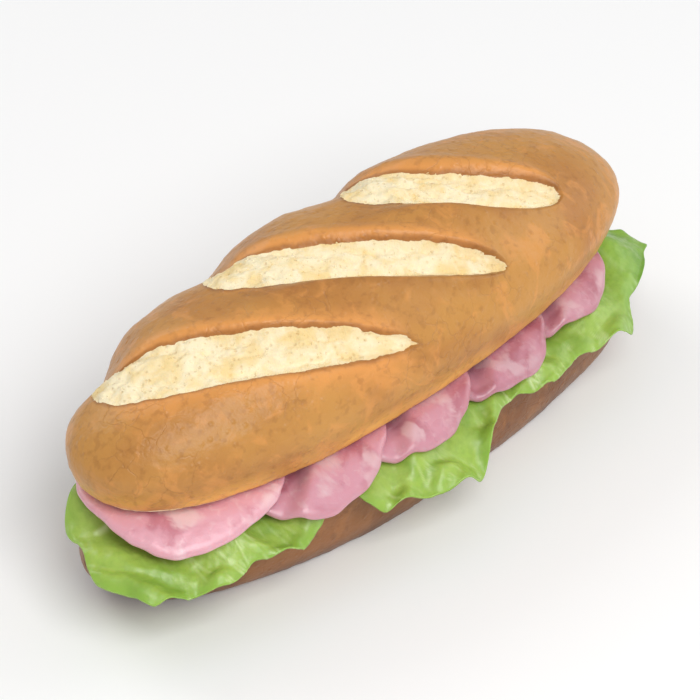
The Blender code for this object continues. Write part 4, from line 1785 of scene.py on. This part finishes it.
@dataclass(frozen=True)
class Studio:
    """A pale floor, soft lights and the camera."""

    floor_size: float = 6.0
    floor_shade: Colour = (0.95, 0.95, 0.95)
    floor_roughness: float = 0.9
    aim_height: float = 0.031
    azimuth: float = -45.0
    elevation: float = 40.0
    distance: float = 0.9
    lens: float = 171.7
    sensor: float = 36.0
    nudge_right: float = -0.00127
    nudge_up: float = -0.00027
    daylight: float = 0.46
    lights: tuple[tuple[str, tuple[float, float, float], float, float], ...] = (
        ("key", (-0.22, -0.60, 0.75), 0.55, 5.5),
        ("fill", (0.75, -0.30, 0.45), 0.6, 1.7),
        ("back", (-0.10, 0.70, 0.60), 0.5, 1.8),
    )

    def build(self) -> None:
        """Builds the floor, the lights and the camera."""
        self._floor()
        for light in self.lights:
            self._light(*light)
        world = bpy.data.worlds.new("room")
        world.use_nodes = True
        background = world.node_tree.nodes["Background"]
        background.inputs["Color"].default_value = (1.0, 1.0, 1.0, 1.0)
        background.inputs["Strength"].default_value = self.daylight
        bpy.context.scene.world = world
        bpy.context.scene.view_settings.view_transform = "Standard"
        self._camera()

    def _floor(self) -> None:
        """A wide pale floor at the roll's base."""
        half = self.floor_size / 2
        corners = np.array(((-half, -half, 0.0), (half, -half, 0.0), (half, half, 0.0), (-half, half, 0.0)))
        floor = new_piece("floor", corners, [(0, 1, 2, 3)])
        material, _, shader = new_material("pale_floor")
        shader.inputs["Base Color"].default_value = (*self.floor_shade, 1.0)
        shader.inputs["Roughness"].default_value = self.floor_roughness
        shader.inputs["Specular IOR Level"].default_value = 0.0
        floor.data.materials.append(material)

    def _light(self, name: str, place: tuple[float, float, float], size: float, power: float) -> None:
        """A square soft light that faces the sandwich.

        Args:
            name: The light's name.
            place: Where it hangs.
            size: Its side.
            power: Its watts.
        """
        data = bpy.data.lights.new(name, "AREA")
        data.size = size
        data.energy = power
        light = bpy.data.objects.new(name, data)
        light.location = place
        towards = Vector((0.0, 0.0, self.aim_height)) - Vector(place)
        light.rotation_euler = towards.to_track_quat("-Z", "Y").to_euler()
        bpy.context.scene.collection.objects.link(light)

    def _camera(self) -> None:
        """The camera at the picture's angle."""
        turn, rise = math.radians(self.azimuth), math.radians(self.elevation)
        right = Vector((math.cos(turn), math.sin(turn), 0.0))
        back = Vector((math.sin(turn) * math.cos(rise), -math.cos(turn) * math.cos(rise), math.sin(rise)))
        up = back.cross(right)
        aim = Vector((0.0, 0.0, self.aim_height)) + right * self.nudge_right + up * self.nudge_up
        data = bpy.data.cameras.new("camera")
        data.sensor_width = self.sensor
        data.lens = self.lens
        camera = bpy.data.objects.new("camera", data)
        facing = Matrix((right, up, back)).transposed().to_4x4()
        camera.matrix_world = Matrix.Translation(aim + back * self.distance) @ facing
        bpy.context.scene.collection.objects.link(camera)
        bpy.context.scene.camera = camera


# Putting it together


def settle(piece: Piece, node: str) -> None:
    """Lets a piece stand for its solid and ride on the sandwich.

    Args:
        piece: The finished piece.
        node: The solid's node.
    """
    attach(piece, BODY)
    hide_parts(node)
    LOG.info("%s stands for %s: %d faces", piece.name, node, len(piece.data.polygons))


def main() -> None:
    """Builds the studio, the bread, the ham and the lettuce."""
    logging.basicConfig(level=logging.INFO, format="%(name)s: %(message)s")
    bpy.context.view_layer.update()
    Studio().build()
    effects = SharedEffects.build()
    golden = CrustFinish("golden_crust", shade(196, 141, 72), shade(178, 120, 60), shade(228, 156, 84),
                         shade(242, 182, 88), shade(126, 76, 38)).build(effects)
    # painted shade: a darker, browner copy of the golden crust, its colours taken from the lower roll in
    # shade
    painted_shade_crust = CrustFinish("brown_crust", shade(153, 103, 65), shade(128, 82, 49), shade(172, 116, 70),
                        shade(176, 124, 78), shade(92, 54, 32)).build(effects)
    ham = HamFinish().build(effects)
    green = LettuceFinish().build(effects)

    plan, lower_plan = RollPlan(), RollPlan(left_power=2.05, right_power=3.0)
    for half, finish in ((top_half(plan), golden), (bottom_half(lower_plan), painted_shade_crust)):
        piece = half.build()
        piece.data.materials.append(finish)
        settle(piece, half.node)
        if half.crown:
            crumbs = CrumbTree().apply(piece, "crumbs", finish)
            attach(crumbs, BODY)
            LOG.info("crumbs: %d faces", len(crumbs.data.polygons))
    shingle = HamShingle(plan)
    for number, piece in enumerate(shingle.build(), start=1):
        piece.data.materials.append(ham)
        settle(piece, f"ham_slice_{number}")
    bed = LettuceBed(plan, lower_plan, shingle)
    for leaf, piece in zip(bed.leaves, build_leaves(bed, RibTree(), green)):
        settle(piece, leaf.node)


if __name__ == "__main__":
    main()
